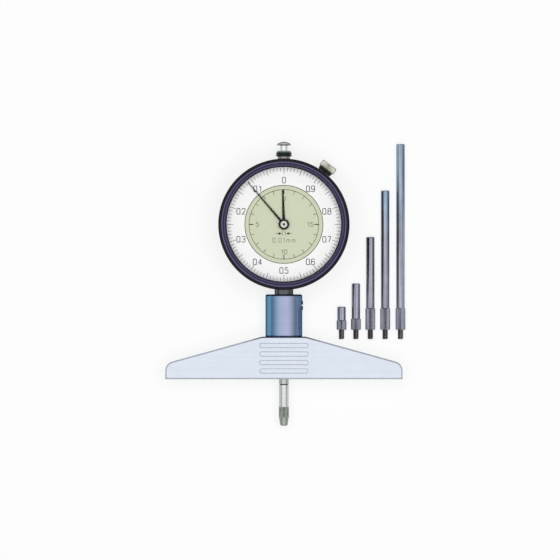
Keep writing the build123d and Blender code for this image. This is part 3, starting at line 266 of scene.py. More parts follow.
class Nodes:
    """A node tree with short calls for adding and linking."""

    def __init__(self, tree):
        self.tree = tree

    def add(self, kind, **settings):
        node = self.tree.nodes.new(kind)
        for name, value in settings.items():
            setattr(node, name, value)
        return node

    def link(self, start, end):
        self.tree.links.new(start, end)

    def put(self, socket, value):
        """Links a socket, or writes a number or a colour on it."""
        if isinstance(value, bpy.types.NodeSocket):
            self.link(value, socket)
        else:
            socket.default_value = value

    def math(self, operation, *values, clamp=False):
        node = self.add("ShaderNodeMath", operation=operation, use_clamp=clamp)
        for socket, value in zip(node.inputs, values):
            self.put(socket, value)
        return node.outputs[0]

    def between(self, value, start, end, first=0.0, last=1.0):
        """Maps a value from start..end to first..last, held at both ends."""
        node = self.add("ShaderNodeMapRange", clamp=True)
        for label, number in zip(
            ("Value", "From Min", "From Max", "To Min", "To Max"), (value, start, end, first, last)
        ):
            self.put(node.inputs[label], number)
        return node.outputs["Result"]

    def mix(self, share, first, second):
        """Blends two colours, through the node's colour sockets A, B and Result."""
        node = self.add("ShaderNodeMix", data_type="RGBA")
        self.put(node.inputs["Factor"], share)
        self.put(node.inputs[6], first)
        self.put(node.inputs[7], second)
        return node.outputs[2]

    def noise(self, place, scale, detail=2.0, roughness=0.5):
        node = self.add("ShaderNodeTexNoise")
        self.put(node.inputs["Vector"], place)
        self.put(node.inputs["Scale"], scale)
        self.put(node.inputs["Detail"], detail)
        self.put(node.inputs["Roughness"], roughness)
        return node.outputs["Fac"]

    def split(self, place):
        """The X, Y and Z of a place."""
        node = self.add("ShaderNodeSeparateXYZ")
        self.link(place, node.inputs[0])
        return node.outputs

    def radius(self, parts):
        """Distance of a split place from the Z axis."""
        across = self.math("MULTIPLY", parts["X"], parts["X"])
        deep = self.math("MULTIPLY", parts["Y"], parts["Y"])
        return self.math("SQRT", self.math("ADD", across, deep))

    def mirrored(self, path):
        """One where a Light Path node says that metal or glass is looking."""
        return self.math("MAXIMUM", path.outputs["Is Glossy Ray"], path.outputs["Is Transmission Ray"])


def group(name, inputs, outputs):
    """A shader node group with named sockets: its nodes, its input node and its output node."""
    tree = bpy.data.node_groups.new(name, "ShaderNodeTree")
    for label, kind, value in inputs:
        socket = tree.interface.new_socket(label, in_out="INPUT", socket_type=kind)
        if value is not None:
            socket.default_value = value
    for label, kind in outputs:
        tree.interface.new_socket(label, in_out="OUTPUT", socket_type=kind)
    nodes = Nodes(tree)
    return nodes, nodes.add("NodeGroupInput").outputs, nodes.add("NodeGroupOutput").inputs


# Tool grain: the lathe's rings drift a little with the turn, and the grinder's scratches are long in X and,
# on an end face, in Z. The bands of tone are as many times broader than the lines as given here.
ring_drift = 0.0002
ring_broadening = 9.0
grinding_squeeze = (0.018, 1.0, 0.04)
scratch_broadening = 12.0


def make_turned_grain():
    """Fine rings left by a lathe round the Z axis of the coordinates."""
    nodes, given, result = group(
        "turned_grain",
        [("Place", "NodeSocketVector", None), ("Lines", "NodeSocketFloat", 9000.0)],
        [("Height", "NodeSocketFloat"), ("Tone", "NodeSocketFloat")],
    )
    parts = nodes.split(given["Place"])
    turn = nodes.math("ARCTAN2", parts["Y"], parts["X"])
    rings = nodes.add("ShaderNodeCombineXYZ")
    nodes.link(nodes.radius(parts), rings.inputs["X"])
    nodes.link(nodes.math("MULTIPLY", turn, ring_drift), rings.inputs["Y"])
    nodes.link(parts["Z"], rings.inputs["Z"])
    nodes.link(nodes.noise(rings.outputs[0], given["Lines"], detail=3.0, roughness=0.6), result["Height"])
    broad_lines = nodes.math("DIVIDE", given["Lines"], ring_broadening)
    nodes.link(nodes.noise(rings.outputs[0], broad_lines), result["Tone"])
    return nodes.tree


def make_ground_grain():
    """Long fine scratches of a surface grinder along X of the coordinates."""
    nodes, given, result = group(
        "ground_grain",
        [("Place", "NodeSocketVector", None), ("Lines", "NodeSocketFloat", 7000.0)],
        [("Height", "NodeSocketFloat"), ("Tone", "NodeSocketFloat")],
    )
    squeeze = nodes.add("ShaderNodeMapping")
    squeeze.inputs["Scale"].default_value = grinding_squeeze
    nodes.link(given["Place"], squeeze.inputs["Vector"])
    nodes.link(nodes.noise(squeeze.outputs[0], given["Lines"], detail=4.0, roughness=0.65), result["Height"])
    broad_lines = nodes.math("DIVIDE", given["Lines"], scratch_broadening)
    nodes.link(nodes.noise(squeeze.outputs[0], broad_lines), result["Tone"])
    return nodes.tree


# Edge wear and edge shade: the likeness of the rounded and the real normal where an edge starts and where it
# is full, and the stretch of the noise over which a patch comes in. A light colour at the edges is rubbed
# wear; a dark one on bright steel and nickel is painted shade, a dark outline.
edge_start = 0.995
edge_full = 0.9
patch_range = (0.42, 0.62)


def make_edge_wear_and_shade():
    """Mask of the edges, broken up by noise: where hands and benches have rubbed the finish, and where a dark
    outline is painted as shade on bright metal.
    """
    nodes, given, result = group(
        "edge_wear_and_shade",
        [
            ("Place", "NodeSocketVector", None),
            ("Width", "NodeSocketFloat", 0.0002),
            ("Patches", "NodeSocketFloat", 900.0),
            ("Cover", "NodeSocketFloat", 0.0),
        ],
        [("Mask", "NodeSocketFloat")],
    )
    rounded = nodes.add("ShaderNodeBevel", samples=4)
    nodes.link(given["Width"], rounded.inputs["Radius"])
    flat = nodes.add("ShaderNodeNewGeometry")
    likeness = nodes.add("ShaderNodeVectorMath", operation="DOT_PRODUCT")
    nodes.link(rounded.outputs[0], likeness.inputs[0])
    nodes.link(flat.outputs["Normal"], likeness.inputs[1])
    edge = nodes.between(likeness.outputs["Value"], edge_start, edge_full)
    cloud = nodes.noise(given["Place"], given["Patches"], detail=4.0, roughness=0.6)
    patches = nodes.between(nodes.math("ADD", cloud, given["Cover"]), *patch_range)
    nodes.link(nodes.math("MULTIPLY", edge, patches), result["Mask"])
    return nodes.tree


# Handling marks: how much finer specks are than clouds, and the stretch of the noise that makes a speck
speck_fineness = 14.0
speck_range = (0.68, 0.74)


def make_handling():
    """Soft cloudy marks of handling and dust, used for roughness and a slight change of tone."""
    nodes, given, result = group(
        "handling_marks",
        [("Place", "NodeSocketVector", None), ("Size", "NodeSocketFloat", 220.0)],
        [("Clouds", "NodeSocketFloat"), ("Specks", "NodeSocketFloat")],
    )
    nodes.link(nodes.noise(given["Place"], given["Size"], detail=3.0, roughness=0.55), result["Clouds"])
    speck_size = nodes.math("MULTIPLY", given["Size"], speck_fineness)
    nodes.link(nodes.between(nodes.noise(given["Place"], speck_size), *speck_range), result["Specks"])
    return nodes.tree


grains = {"turned": make_turned_grain(), "ground": make_ground_grain()}
edge_wear_and_shade = make_edge_wear_and_shade()
handling_marks = make_handling()


# Finishes: the stretch of the clouds and of the grain's tone that changes a colour, and the grain's bump
cloud_range = (0.3, 0.7)
streak_range = (0.35, 0.65)
grain_strength = 0.5
coat_roughness = 0.05


def rgb(red, green, blue):
    """A colour written as on a screen, by its sRGB curve, for a shader."""
    return tuple(
        (part / 255 / 12.92 if part < 11 else ((part / 255 + 0.055) / 1.055) ** 2.4)
        for part in (red, green, blue)
    ) + (1.0,)


def banded(nodes, place, measure, stops):
    """A colour that follows the radius, or one axis, of the coordinates: stops are (millimetres, colour)."""
    parts = nodes.split(place)
    value = nodes.radius(parts) if measure == "radius" else parts[measure]
    first = stops[0][0]
    last = stops[-1][0]
    ramp = nodes.add("ShaderNodeValToRGB")
    nodes.link(nodes.between(value, first * MM, last * MM), ramp.inputs[0])
    elements = ramp.color_ramp.elements
    elements[0].color = stops[0][1]
    elements[1].color = stops[-1][1]
    for height, colour in stops[1:-1]:
        elements.new((height - first) / (last - first)).color = colour
    return ramp.outputs["Color"]


def own_axes(nodes, place, laid):
    """Coordinates about a piece's own axis."""
    centred = nodes.add("ShaderNodeMapping", vector_type="TEXTURE")
    centred.inputs["Location"].default_value = laid.to_translation()
    centred.inputs["Rotation"].default_value = laid.to_euler()
    nodes.link(place, centred.inputs["Vector"])
    return centred.outputs[0]


def marked(nodes, place):
    """The handling marks at a place."""
    marks = nodes.add("ShaderNodeGroup", node_tree=handling_marks)
    nodes.link(place, marks.inputs["Place"])
    return marks.outputs


def finish(
    name, colour=None, bands=None, tint=None, tone=0.12, metallic=0.0, roughness=(0.3, 0.4), speckle=0.0,
    grain=None, lines=None, depth=0.002, grain_tone=0.6, laid=None, worn=None, wear_width=0.15,
    wear_and_shade_cover=0.0, coat=0.0, edge_tint=None, ior=1.5,
):
    """A procedural finish: base colour with tone changes, an edge colour (rubbed wear, and on bright metal a
    dark outline of painted shade), tool grain and handling marks.

    The base is one colour, or bands of colour that follow the piece, and tint multiplies it with bands of its
    own. laid is the place of the axis that bands and grain go by. depth is the grain's, and both it and
    wear_width are in millimetres.
    """
    material = bpy.data.materials.new(name)
    material.use_nodes = True
    nodes = Nodes(material.node_tree)
    shader = material.node_tree.nodes["Principled BSDF"]
    place = nodes.add("ShaderNodeTexCoord").outputs["Object"]
    own_place = place if laid is None else own_axes(nodes, place, laid)
    marks = marked(nodes, place)
    level = nodes.between(marks["Clouds"], *cloud_range, 1 - tone, 1.0)
    rough = nodes.between(marks["Clouds"], *cloud_range, *roughness)
    if speckle:
        rough = nodes.math("ADD", rough, nodes.math("MULTIPLY", marks["Specks"], speckle), clamp=True)
    if grain is not None:
        tool = nodes.add("ShaderNodeGroup", node_tree=grains[grain])
        nodes.link(own_place, tool.inputs["Place"])
        if lines is not None:
            tool.inputs["Lines"].default_value = lines
        streaks = nodes.between(tool.outputs["Tone"], *streak_range, 1 - grain_tone * tone, 1.0)
        level = nodes.math("MULTIPLY", level, streaks)
        bump = nodes.add("ShaderNodeBump")
        bump.inputs["Strength"].default_value = grain_strength
        bump.inputs["Distance"].default_value = depth * MM
        nodes.link(tool.outputs["Height"], bump.inputs["Height"])
        nodes.link(bump.outputs[0], shader.inputs["Normal"])
    plain = colour[:3] if bands is None else banded(nodes, own_place, *bands)
    if tint is not None:
        tinted = nodes.add("ShaderNodeVectorMath", operation="MULTIPLY")
        nodes.put(tinted.inputs[0], plain)
        nodes.link(banded(nodes, own_place, *tint), tinted.inputs[1])
        plain = tinted.outputs[0]
    toned = nodes.add("ShaderNodeVectorMath", operation="SCALE")
    nodes.put(toned.inputs[0], plain)
    nodes.link(level, toned.inputs["Scale"])
    shade = toned.outputs[0]
    if worn is not None:
        wear = nodes.add("ShaderNodeGroup", node_tree=edge_wear_and_shade)
        nodes.link(place, wear.inputs["Place"])
        wear.inputs["Width"].default_value = wear_width * MM
        wear.inputs["Cover"].default_value = wear_and_shade_cover
        shade = nodes.mix(wear.outputs["Mask"], shade, worn)
    nodes.link(shade, shader.inputs["Base Color"])
    nodes.link(rough, shader.inputs["Roughness"])
    shader.inputs["Metallic"].default_value = metallic
    shader.inputs["IOR"].default_value = ior
    if coat:
        shader.inputs["Coat Weight"].default_value = coat
        shader.inputs["Coat Roughness"].default_value = coat_roughness
    if edge_tint is not None:
        shader.inputs["Specular Tint"].default_value = edge_tint
    return material


# Steel is darker where it is seen at a grazing angle
steel_edge = (0.03, 0.035, 0.04, 1)


def turned_metal(name, laid=along_spindle, edge_tint=steel_edge, **settings):
    """A metal with the lathe's rings round the spindle's axis, or another."""
    return finish(name, metallic=1.0, grain="turned", laid=laid, edge_tint=edge_tint, **settings)


def paint(name, colour, tone=0.15):
    """Dull paint of the dials, and the ink on them."""
    return finish(name, colour, tone=tone, roughness=(0.5, 0.6), ior=1.3)


# Crystal: its index is lower than acrylic's own, so that less of the room is mirrored over the dial
crystal_ior = 1.22
crystal_cloud_range = (0.4, 0.75)
crystal_roughness = (0.0, 0.03)


def make_crystal_finish():
    """Clear acrylic that lets the light through to the dial."""
    material = bpy.data.materials.new("clear_acrylic")
    material.use_nodes = True
    nodes = Nodes(material.node_tree)
    shader = material.node_tree.nodes["Principled BSDF"]
    shader.inputs["Base Color"].default_value = (1, 1, 1, 1)
    shader.inputs["Transmission Weight"].default_value = 1.0
    shader.inputs["IOR"].default_value = crystal_ior
    marks = marked(nodes, nodes.add("ShaderNodeTexCoord").outputs["Object"])
    rough = nodes.between(marks["Clouds"], *crystal_cloud_range, *crystal_roughness)
    nodes.link(rough, shader.inputs["Roughness"])
    path = nodes.add("ShaderNodeLightPath")
    clear = nodes.add("ShaderNodeBsdfTransparent")
    blended = nodes.add("ShaderNodeMixShader")
    passing = nodes.math("MAXIMUM", path.outputs["Is Shadow Ray"], path.outputs["Is Diffuse Ray"])
    nodes.link(passing, blended.inputs[0])
    nodes.link(shader.outputs[0], blended.inputs[1])
    nodes.link(clear.outputs[0], blended.inputs[2])
    nodes.link(blended.outputs[0], material.node_tree.nodes["Material Output"].inputs["Surface"])
    return material


# Where a colour changes along a piece, in millimetres from the origin of its own axis
# Bezel by radius: its dark enamel, with painted highlights as the light lines on its crest and step, and
# painted shade as the near-black of its rounded outer shoulder
bezel_bands_painted_light = [
    (24.4, rgb(46, 42, 56)), (25.0, rgb(46, 42, 58)), (25.2, rgb(78, 72, 106)), (25.5, rgb(82, 75, 110)),
    (25.65, rgb(34, 31, 52)), (26.15, rgb(36, 33, 54)), (26.35, rgb(112, 108, 158)),
    (26.6, rgb(104, 100, 148)), (26.75, rgb(26, 25, 36)), (26.95, rgb(10, 10, 16)), (28.1, rgb(9, 9, 14)),
]
# Holder along its axis: blue steel, with a painted shadow as the dark band at its foot against the base bar,
# and painted shade as the dark band at its rounded head
holder_foot = high("base_bar").y / MM
holder_head = high("holder_sleeve").y / MM
holder_blue = rgb(184, 190, 220)
holder_bands_painted_shade = [
    (holder_foot, rgb(44, 58, 92)), (holder_foot + 0.3, rgb(58, 74, 112)), (holder_foot + 0.6, holder_blue),
    (holder_head - 0.9, holder_blue), (holder_head - 0.5, rgb(62, 72, 92)), (holder_head, rgb(34, 40, 52)),
]
# Painted shading across the holder's width: its sides darker and teal as painted shade and sheen, and its
# middle, a little right of centre, a painted highlight
painted_holder_shading = [
    (-7.9, (0.4, 0.56, 0.46, 1)), (-6.4, (0.36, 0.72, 0.82, 1)), (-4.2, (0.5, 0.84, 0.98, 1)),
    (-1.6, (0.86, 0.93, 0.95, 1)), (1.5, (1, 1, 1, 1)), (3.4, (0.8, 0.93, 0.98, 1)),
    (5.4, (0.56, 0.82, 0.92, 1)), (7.9, (0.42, 0.55, 0.58, 1)),
]
contact_bands = [
    (-20.2, rgb(118, 126, 120)), (-19.9, rgb(182, 190, 183)), (-16.7, rgb(172, 182, 173)),
    (-16.5, rgb(182, 192, 182)), (-12.2, rgb(182, 192, 182)), (-12.05, rgb(232, 235, 232)),
    (-2.7, rgb(234, 237, 234)), (-2.55, rgb(64, 65, 64)), (-2.4, rgb(50, 51, 50)),
]
spindle_dark = rgb(58, 58, 58)
spindle_bright = rgb(205, 206, 205)
spindle_bands = [(-2.4, spindle_dark), (-2.2, spindle_dark), (-2.1, spindle_bright), (98.0, spindle_bright)]
rod_shoulder = (low("rod_80").y + rod_thread_length) / MM
rod_brown = rgb(172, 160, 164)
rod_grey = rgb(194, 197, 213)
rod_blue = rgb(174, 197, 220)
rod_bands = [
    (rod_shoulder - 4.1, rod_brown), (rod_shoulder - 0.1, rod_brown), (rod_shoulder, rod_grey),
    (rod_shoulder + 38, rod_grey), (rod_shoulder + 56, rod_blue), (rod_shoulder + 85, rod_blue),
]
# Dust collar along its axis: dark green-black, with a painted highlight as the pale band on its sloped
# shoulder at the top
collar_top = high("dust_collar").y / MM
collar_dark = rgb(14, 30, 24)
collar_bands_painted_highlight = [
    (collar_top - 2.6, collar_dark), (collar_top - 0.75, collar_dark),
    (collar_top - 0.6, rgb(112, 136, 126)), (collar_top, rgb(160, 176, 168)),
]
bush_dark = rgb(46, 56, 60)
bush_bands = [
    (92.0, bush_dark), (94.45, bush_dark), (94.75, rgb(150, 144, 146)), (95.2, rgb(188, 182, 182)),
    (95.5, rgb(70, 74, 72)),
]
lifting_neck = rgb(250, 251, 248)
lifting_head = rgb(198, 200, 197)
lifting_bands = [(97.0, lifting_neck), (100.0, lifting_neck), (100.3, lifting_head), (102.0, lifting_head)]
# Clamp knob along its axis: a bright nickel head, and painted shade as the dark colour of its neck between
# the bezel and the head
knob_shoulder = clamp_neck_outer / MM
knob_bands_painted_shade = [
    (28.9, rgb(60, 56, 46)), (knob_shoulder - 0.05, rgb(66, 62, 52)),
    (knob_shoulder + 0.05, rgb(232, 229, 216)), (32.6, rgb(240, 238, 226)),
]

finishes = {
    # The base bar's dark edge colour is painted shade: dark outlines along its edges and the rims of its
    # slots
    "satin_steel": finish(
        "ground_steel", rgb(228, 236, 248), tone=0.05, metallic=1.0, roughness=(0.24, 0.32), grain="ground",
        worn=rgb(84, 92, 102), wear_width=0.3, wear_and_shade_cover=0.3,
    ),
    "blued_steel": turned_metal(
        "blue_steel", bands=("Z", holder_bands_painted_shade), tint=("X", painted_holder_shading), tone=0.08, roughness=(0.3, 0.36),
        depth=0.004, edge_tint=(0.05, 0.16, 0.3, 1),
    ),
    "black_steel": finish(
        "black_oxide", rgb(40, 42, 47), tone=0.2, metallic=1.0, roughness=(0.35, 0.5),
        worn=rgb(150, 154, 160),
    ),
    "polished_steel": turned_metal(
        "polished_steel", colour=rgb(196, 198, 195), tone=0.06, roughness=(0.12, 0.2), depth=0.003,
    ),
    # The contact point's dark edge colour is painted shade, a thin dark outline
    "contact_steel": turned_metal(
        "contact_steel", bands=("Z", contact_bands), tone=0.08, roughness=(0.2, 0.28), worn=rgb(60, 64, 60),
        wear_width=0.08,
    ),
    "rod_steel": finish(
        "rod_steel", bands=("X", rod_bands), tone=0.18, metallic=1.0, roughness=(0.16, 0.26), grain="ground",
        lines=20000.0, depth=0.004, grain_tone=2.6, laid=along_rods, edge_tint=steel_edge,
    ),
    "brass": finish("brass", rgb(214, 178, 98), metallic=1.0, roughness=(0.22, 0.34)),
    "bronze": finish("bronze", rgb(176, 122, 82), tone=0.15, metallic=1.0, roughness=(0.3, 0.42)),
    "spring_steel": finish("spring_steel", rgb(150, 156, 168), tone=0.15, metallic=1.0, roughness=(0.2, 0.3)),
    "case_enamel": finish(
        "case_enamel", rgb(30, 31, 40), tone=0.2, roughness=(0.28, 0.36), speckle=0.15,
        worn=rgb(120, 122, 132), wear_width=0.1, coat=0.3, ior=1.4,
    ),
    # The bezel's bands carry painted highlights and painted shade as well as its enamel colour
    "bezel_enamel": finish(
        "bezel_enamel", bands=("radius", bezel_bands_painted_light), tone=0.15, roughness=(0.24, 0.32), grain="turned",
        depth=0.001, laid=dial_place, ior=1.3,
    ),
    "collar_black": finish(
        "collar_black", bands=("Z", collar_bands_painted_highlight), tone=0.2, roughness=(0.24, 0.34), laid=along_spindle,
        worn=rgb(84, 100, 92), wear_width=0.1, ior=1.4,
    ),
    "dial_green": paint("dial_green", rgb(203, 210, 182), tone=0.03),
    "dial_white": paint("dial_white", rgb(247, 246, 247), tone=0.015),
    "hand_black": finish("hand_black", rgb(14, 14, 15), tone=0.2, roughness=(0.45, 0.55), ior=1.2),
    "crystal": make_crystal_finish(),
    "gasket_rubber": finish("gasket_rubber", rgb(30, 30, 31), tone=0.2, roughness=(0.6, 0.75)),
    # The knob's dark edge colour is painted shade, a thin dark outline, and its bands paint shade on its neck
    "nickel": turned_metal(
        "satin_nickel", bands=("Z", knob_bands_painted_shade), laid=clamp_place, tone=0.08, roughness=(0.26, 0.36),
        worn=rgb(120, 118, 106), wear_width=0.1,
    ),
}

# Pieces whose finish differs from the rest of their slot
node_finishes = {
    # The stem's steel is coloured dark as painted shade, where it lies between the bezel and the holder
    "stem_tube": turned_metal(
        "stem_steel_painted_shade", colour=rgb(104, 107, 110), tone=0.1, roughness=(0.14, 0.22), depth=0.003,
    ),
    "spindle": turned_metal("lapped_steel", bands=("Z", spindle_bands), tone=0.05, roughness=(0.1, 0.18)),
    "upper_bush": turned_metal(
        "turned_bush", bands=("Z", bush_bands), tone=0.1, roughness=(0.2, 0.3), depth=0.003,
    ),
    "lifting_knob": turned_metal(
        "turned_knob", bands=("Z", lifting_bands), tone=0.06, roughness=(0.12, 0.2), depth=0.003,
    ),
    # The clamp screw is coloured dark as painted shade in the gap between the bezel and the knob
    "clamp_screw": finish("clamp_screw_painted_shade", rgb(62, 60, 54), tone=0.1, metallic=1.0, roughness=(0.35, 0.45)),
    # The arbor's steel end is coloured near-black as a painted dark reflection
    "centre_arbor": finish("arbor_painted_reflection", rgb(34, 30, 22), roughness=(0.5, 0.6), ior=1.2),
    "pointer_cap": finish("cap_nickel", rgb(224, 222, 210), tone=0.06, metallic=1.0),
}
scale_ink = paint("scale_ink", rgb(66, 59, 58))
count_ink = paint("count_ink", rgb(84, 88, 72))
arrow_ink = paint("arrow_ink", rgb(30, 32, 28))


def dress_frame():
    """Gives every CAD node the finish of its material slot, or its own."""
    for name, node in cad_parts.items():
        for place in node.material_slots:
            label = place.material.name.split(".")[0]
            place.material = node_finishes.get(name, finishes[label])


# Forms


def new_object(name, data):
    """A new object in the scene, at the origin."""
    item = bpy.data.objects.new(name, data)
    bpy.context.scene.collection.objects.link(item)
    return item


def smooth_piece(form, name, material):
    """Turns a finished form into an object with smooth shading."""
    mesh = bpy.data.meshes.new(name)
    form.to_mesh(mesh)
    form.free()
    mesh.shade_smooth()
    mesh.materials.append(material)
    return new_object(name, mesh)


def keep_piece(form, name, material, body, replaced=()):
    """Turns a finished form into a piece that rides on a body, with its sharp edges kept."""
    piece = smooth_piece(form, name, material)
    piece.data.set_sharp_from_angle(angle=smooth_angle)
    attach(piece, body)
    if replaced:
        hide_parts(*replaced)
    return piece


def settle(form, place):
    """Puts a form that was made about its own axis in its place."""
    bmesh.ops.transform(form, matrix=place, verts=form.verts)
    return form


def turned(corners, steps, closed=False, rows=None):
    """Spins an outline of corners (radius, height, rounding) about the Z axis, in steps round the turn.

    rows cuts the outline's stretches into shorter ones: {index of the first corner: number of rows}. The form
    is made in millimetres and scaled last.
    """
    form = bmesh.new()
    outline = []
    chain = []
    for index, (radius, height, rounding) in enumerate(corners):
        start = Vector((radius, 0, height)) / MM
        outline.append(form.verts.new(start))
        chain.append(outline[-1])
        count = (rows or {}).get(index, 1)
        for row in range(1, count):
            end = Vector((corners[index + 1][0], 0, corners[index + 1][1])) / MM
            chain.append(form.verts.new(start.lerp(end, row / count)))
    for pair in zip(chain, chain[1:] + chain[:1] if closed else chain[1:]):
        form.edges.new(pair)
    for corner, (radius, height, rounding) in zip(outline, corners):
        if rounding:
            room = rounding_room * min(edge.calc_length() for edge in corner.link_edges)
            bmesh.ops.bevel(
                form, geom=[corner], offset=min(rounding / MM, room), segments=rounding_segments, profile=0.5,
                affect="VERTICES", material=-1,
            )
    bmesh.ops.spin(
        form, geom=form.verts[:] + form.edges[:], cent=(0, 0, 0), axis=(0, 0, 1), dvec=(0, 0, 0),
        angle=2 * pi, steps=steps, use_merge=True,
    )
    bmesh.ops.scale(form, vec=(MM, MM, MM), verts=form.verts)
    bmesh.ops.remove_doubles(form, verts=form.verts, dist=weld_distance)
    bmesh.ops.recalc_face_normals(form, faces=form.faces)
    return form


def sink_points(form, radius, bottom, top, sink):
    """Draws the points of a round stretch in by sink(turn, height), and cuts its faces along the valleys."""
    band = set()
    for point in form.verts:
        on_radius = abs(hypot(point.co.x, point.co.y) - radius) < surface_distance
        if on_radius and bottom - weld_distance <= point.co.z <= top + weld_distance:
            band.add(point)
    faces = [face for face in form.faces if band.issuperset(face.verts)]
    for point in band:
        turn = atan2(point.co.y, point.co.x) / (2 * pi) % 1.0
        share = 1 - sink(turn, point.co.z - bottom) / radius
        point.co.x *= share
        point.co.y *= share
    bmesh.ops.triangulate(form, faces=faces, quad_method="SHORT_EDGE")


def diamond_knurl(form, radius, bottom, top, depth, steps, rows):
    """Small pyramids, with their valleys along two crossing helices."""

    def sink(turn, height):
        column = round(turn * steps)
        row = round(height / (top - bottom) * rows)
        return depth if (column + row) % 2 else 0.0

    sink_points(form, radius, bottom, top, sink)


def straight_knurl(form, radius, bottom, top, depth, steps):
    """Ridges along the axis."""

    def sink(turn, height):
        return depth if round(turn * steps) % 2 else 0.0

    sink_points(form, radius, bottom, top, sink)


def screw_thread(form, radius, bottom, top, pitch, depth):
    """A V thread on one helix."""

    def sink(turn, height):
        phase = (height / pitch - turn) % 1.0
        return depth * abs(2 * phase - 1)

    sink_points(form, radius, bottom, top, sink)


# Pieces


def make_bezel():
    """The bezel ring, with its rounded crest, step and outer shoulder, and the grip groove."""
    outer = half_width("bezel_ring")
    back = low("bezel_ring").z
    front = high("bezel_ring").z
    bore = outer - bezel_rim
    sight = outer - bezel_wall
    groove = low("scale_ring").z + bezel_groove_rise
    seat = high("scale_ring").z
    crystal_edge = half_width("crystal") + crystal_gap
    corners = [
        (bore, back, fine_edge),
        (outer - bezel_back_chamfer, back, fine_edge),
        (outer, back + bezel_back_chamfer, eased_edge),
        (outer, groove, fine_edge),
        (outer - bezel_groove_depth, groove + bezel_groove_depth, 0),
        (outer, groove + 2 * bezel_groove_depth, fine_edge),
        (outer, front - bezel_shoulder_drop, bezel_shoulder_rounding),
        (sight + bezel_step_end, front - bezel_shoulder_drop, soft_edge),
        (sight + bezel_step_foot, front - bezel_step_drop, soft_edge),
        (sight + bezel_crest_edge, front - bezel_crest_fall, bezel_edge_rounding),
        (sight + bezel_crest, front, bezel_crest_rounding),
        (sight + bezel_brow, front - bezel_brow_drop, bezel_crest_rounding),
        (sight, front - bezel_nose_drop, bezel_edge_rounding),
        (sight, front - bezel_lip_drop, 0),
        (crystal_edge, front - bezel_lip_drop, 0),
        (crystal_edge, seat, 0),
        (bore, seat, 0),
    ]
    form = settle(turned(corners, bezel_steps, closed=True), dial_place)
    keep_piece(form, "turned_bezel", finishes["bezel_enamel"], "bezel_set", ["bezel_ring"])


def make_contact():
    """Contact point: plain shank, a diamond-knurled band and a tapered nose with a rounded end."""
    radius = half_width("contact_point")
    tip = low("contact_point").y
    band_bottom = tip + contact_nose_length
    band_top = band_bottom + contact_knurl_length
    knurl_bottom = band_bottom + contact_knurl_chamfer
    knurl_top = band_top - contact_knurl_chamfer
    shank_top = low("spindle").y - contact_shank_gap
    thread_top = high("contact_point").y
    rows = round((knurl_top - knurl_bottom) / knurl_row)
    corners = [
        (0, tip, 0),
        (contact_nose_radius, tip, contact_nose_rounding),
        (radius - contact_knurl_chamfer, band_bottom, contact_knurl_rounding),
        (radius, knurl_bottom, 0),
        (radius, knurl_top, 0),
        (radius - contact_knurl_chamfer, band_top, fine_edge),
        (contact_shank_radius, band_top, crisp_edge),
        (contact_shank_radius, shank_top, contact_shank_rounding),
        (contact_thread_radius, shank_top, 0),
        (contact_thread_radius, thread_top, contact_thread_rounding),
        (0, thread_top, 0),
    ]
    form = turned(corners, contact_steps, rows={3: rows})
    diamond_knurl(form, radius, knurl_bottom, knurl_top, contact_knurl_depth, contact_steps, rows)
    form = settle(form, along_spindle)
    keep_piece(
        form, "knurled_contact", finishes["contact_steel"], "spindle_set", ["contact_point"]
    )


def make_rod(node, knurl):
    """Extension rod: threaded spigot, knurled grip, plain rod and a socket in its top."""
    grip = half_width(node)
    bottom = low(node).y
    top = high(node).y
    middle = (low(node) + high(node)) / 2
    shoulder = bottom + rod_thread_length
    thread_bottom = bottom + rod_chamfer
    knurl_bottom = shoulder + rod_chamfer
    knurl_top = shoulder + knurl - rod_chamfer
    socket_end = top - rod_socket_depth
    thread_rows = round((shoulder - thread_bottom) / rod_thread_pitch * rod_thread_rows)
    knurl_rows = round((knurl_top - knurl_bottom) / knurl_row)
    corners = [
        (0, bottom, 0),
        (rod_thread_radius - rod_chamfer, bottom, 0),
        (rod_thread_radius, thread_bottom, 0),
        (rod_thread_radius, shoulder, 0),
        (grip - rod_chamfer, shoulder, fine_edge),
        (grip, knurl_bottom, 0),
        (grip, knurl_top, 0),
        (rod_radius, shoulder + knurl, crisp_edge),
        (rod_radius, top - rod_chamfer, eased_edge),
        (rod_radius - rod_chamfer, top, rubbed_edge),
        (rod_thread_radius, top, fine_edge),
        (rod_thread_radius, socket_end, 0),
        (0, socket_end - rod_socket_point, 0),
    ]
    form = turned(corners, rod_steps, rows={2: thread_rows, 5: knurl_rows})
    screw_thread(form, rod_thread_radius, thread_bottom, shoulder, rod_thread_pitch, rod_thread_depth)
    diamond_knurl(form, grip, knurl_bottom, knurl_top, rod_knurl_depth, rod_steps, knurl_rows)
    form = settle(form, Matrix.Translation((middle.x, 0, middle.z)) @ along_spindle)
    keep_piece(form, "turned_" + node, finishes["rod_steel"], "gauge_body", [node])


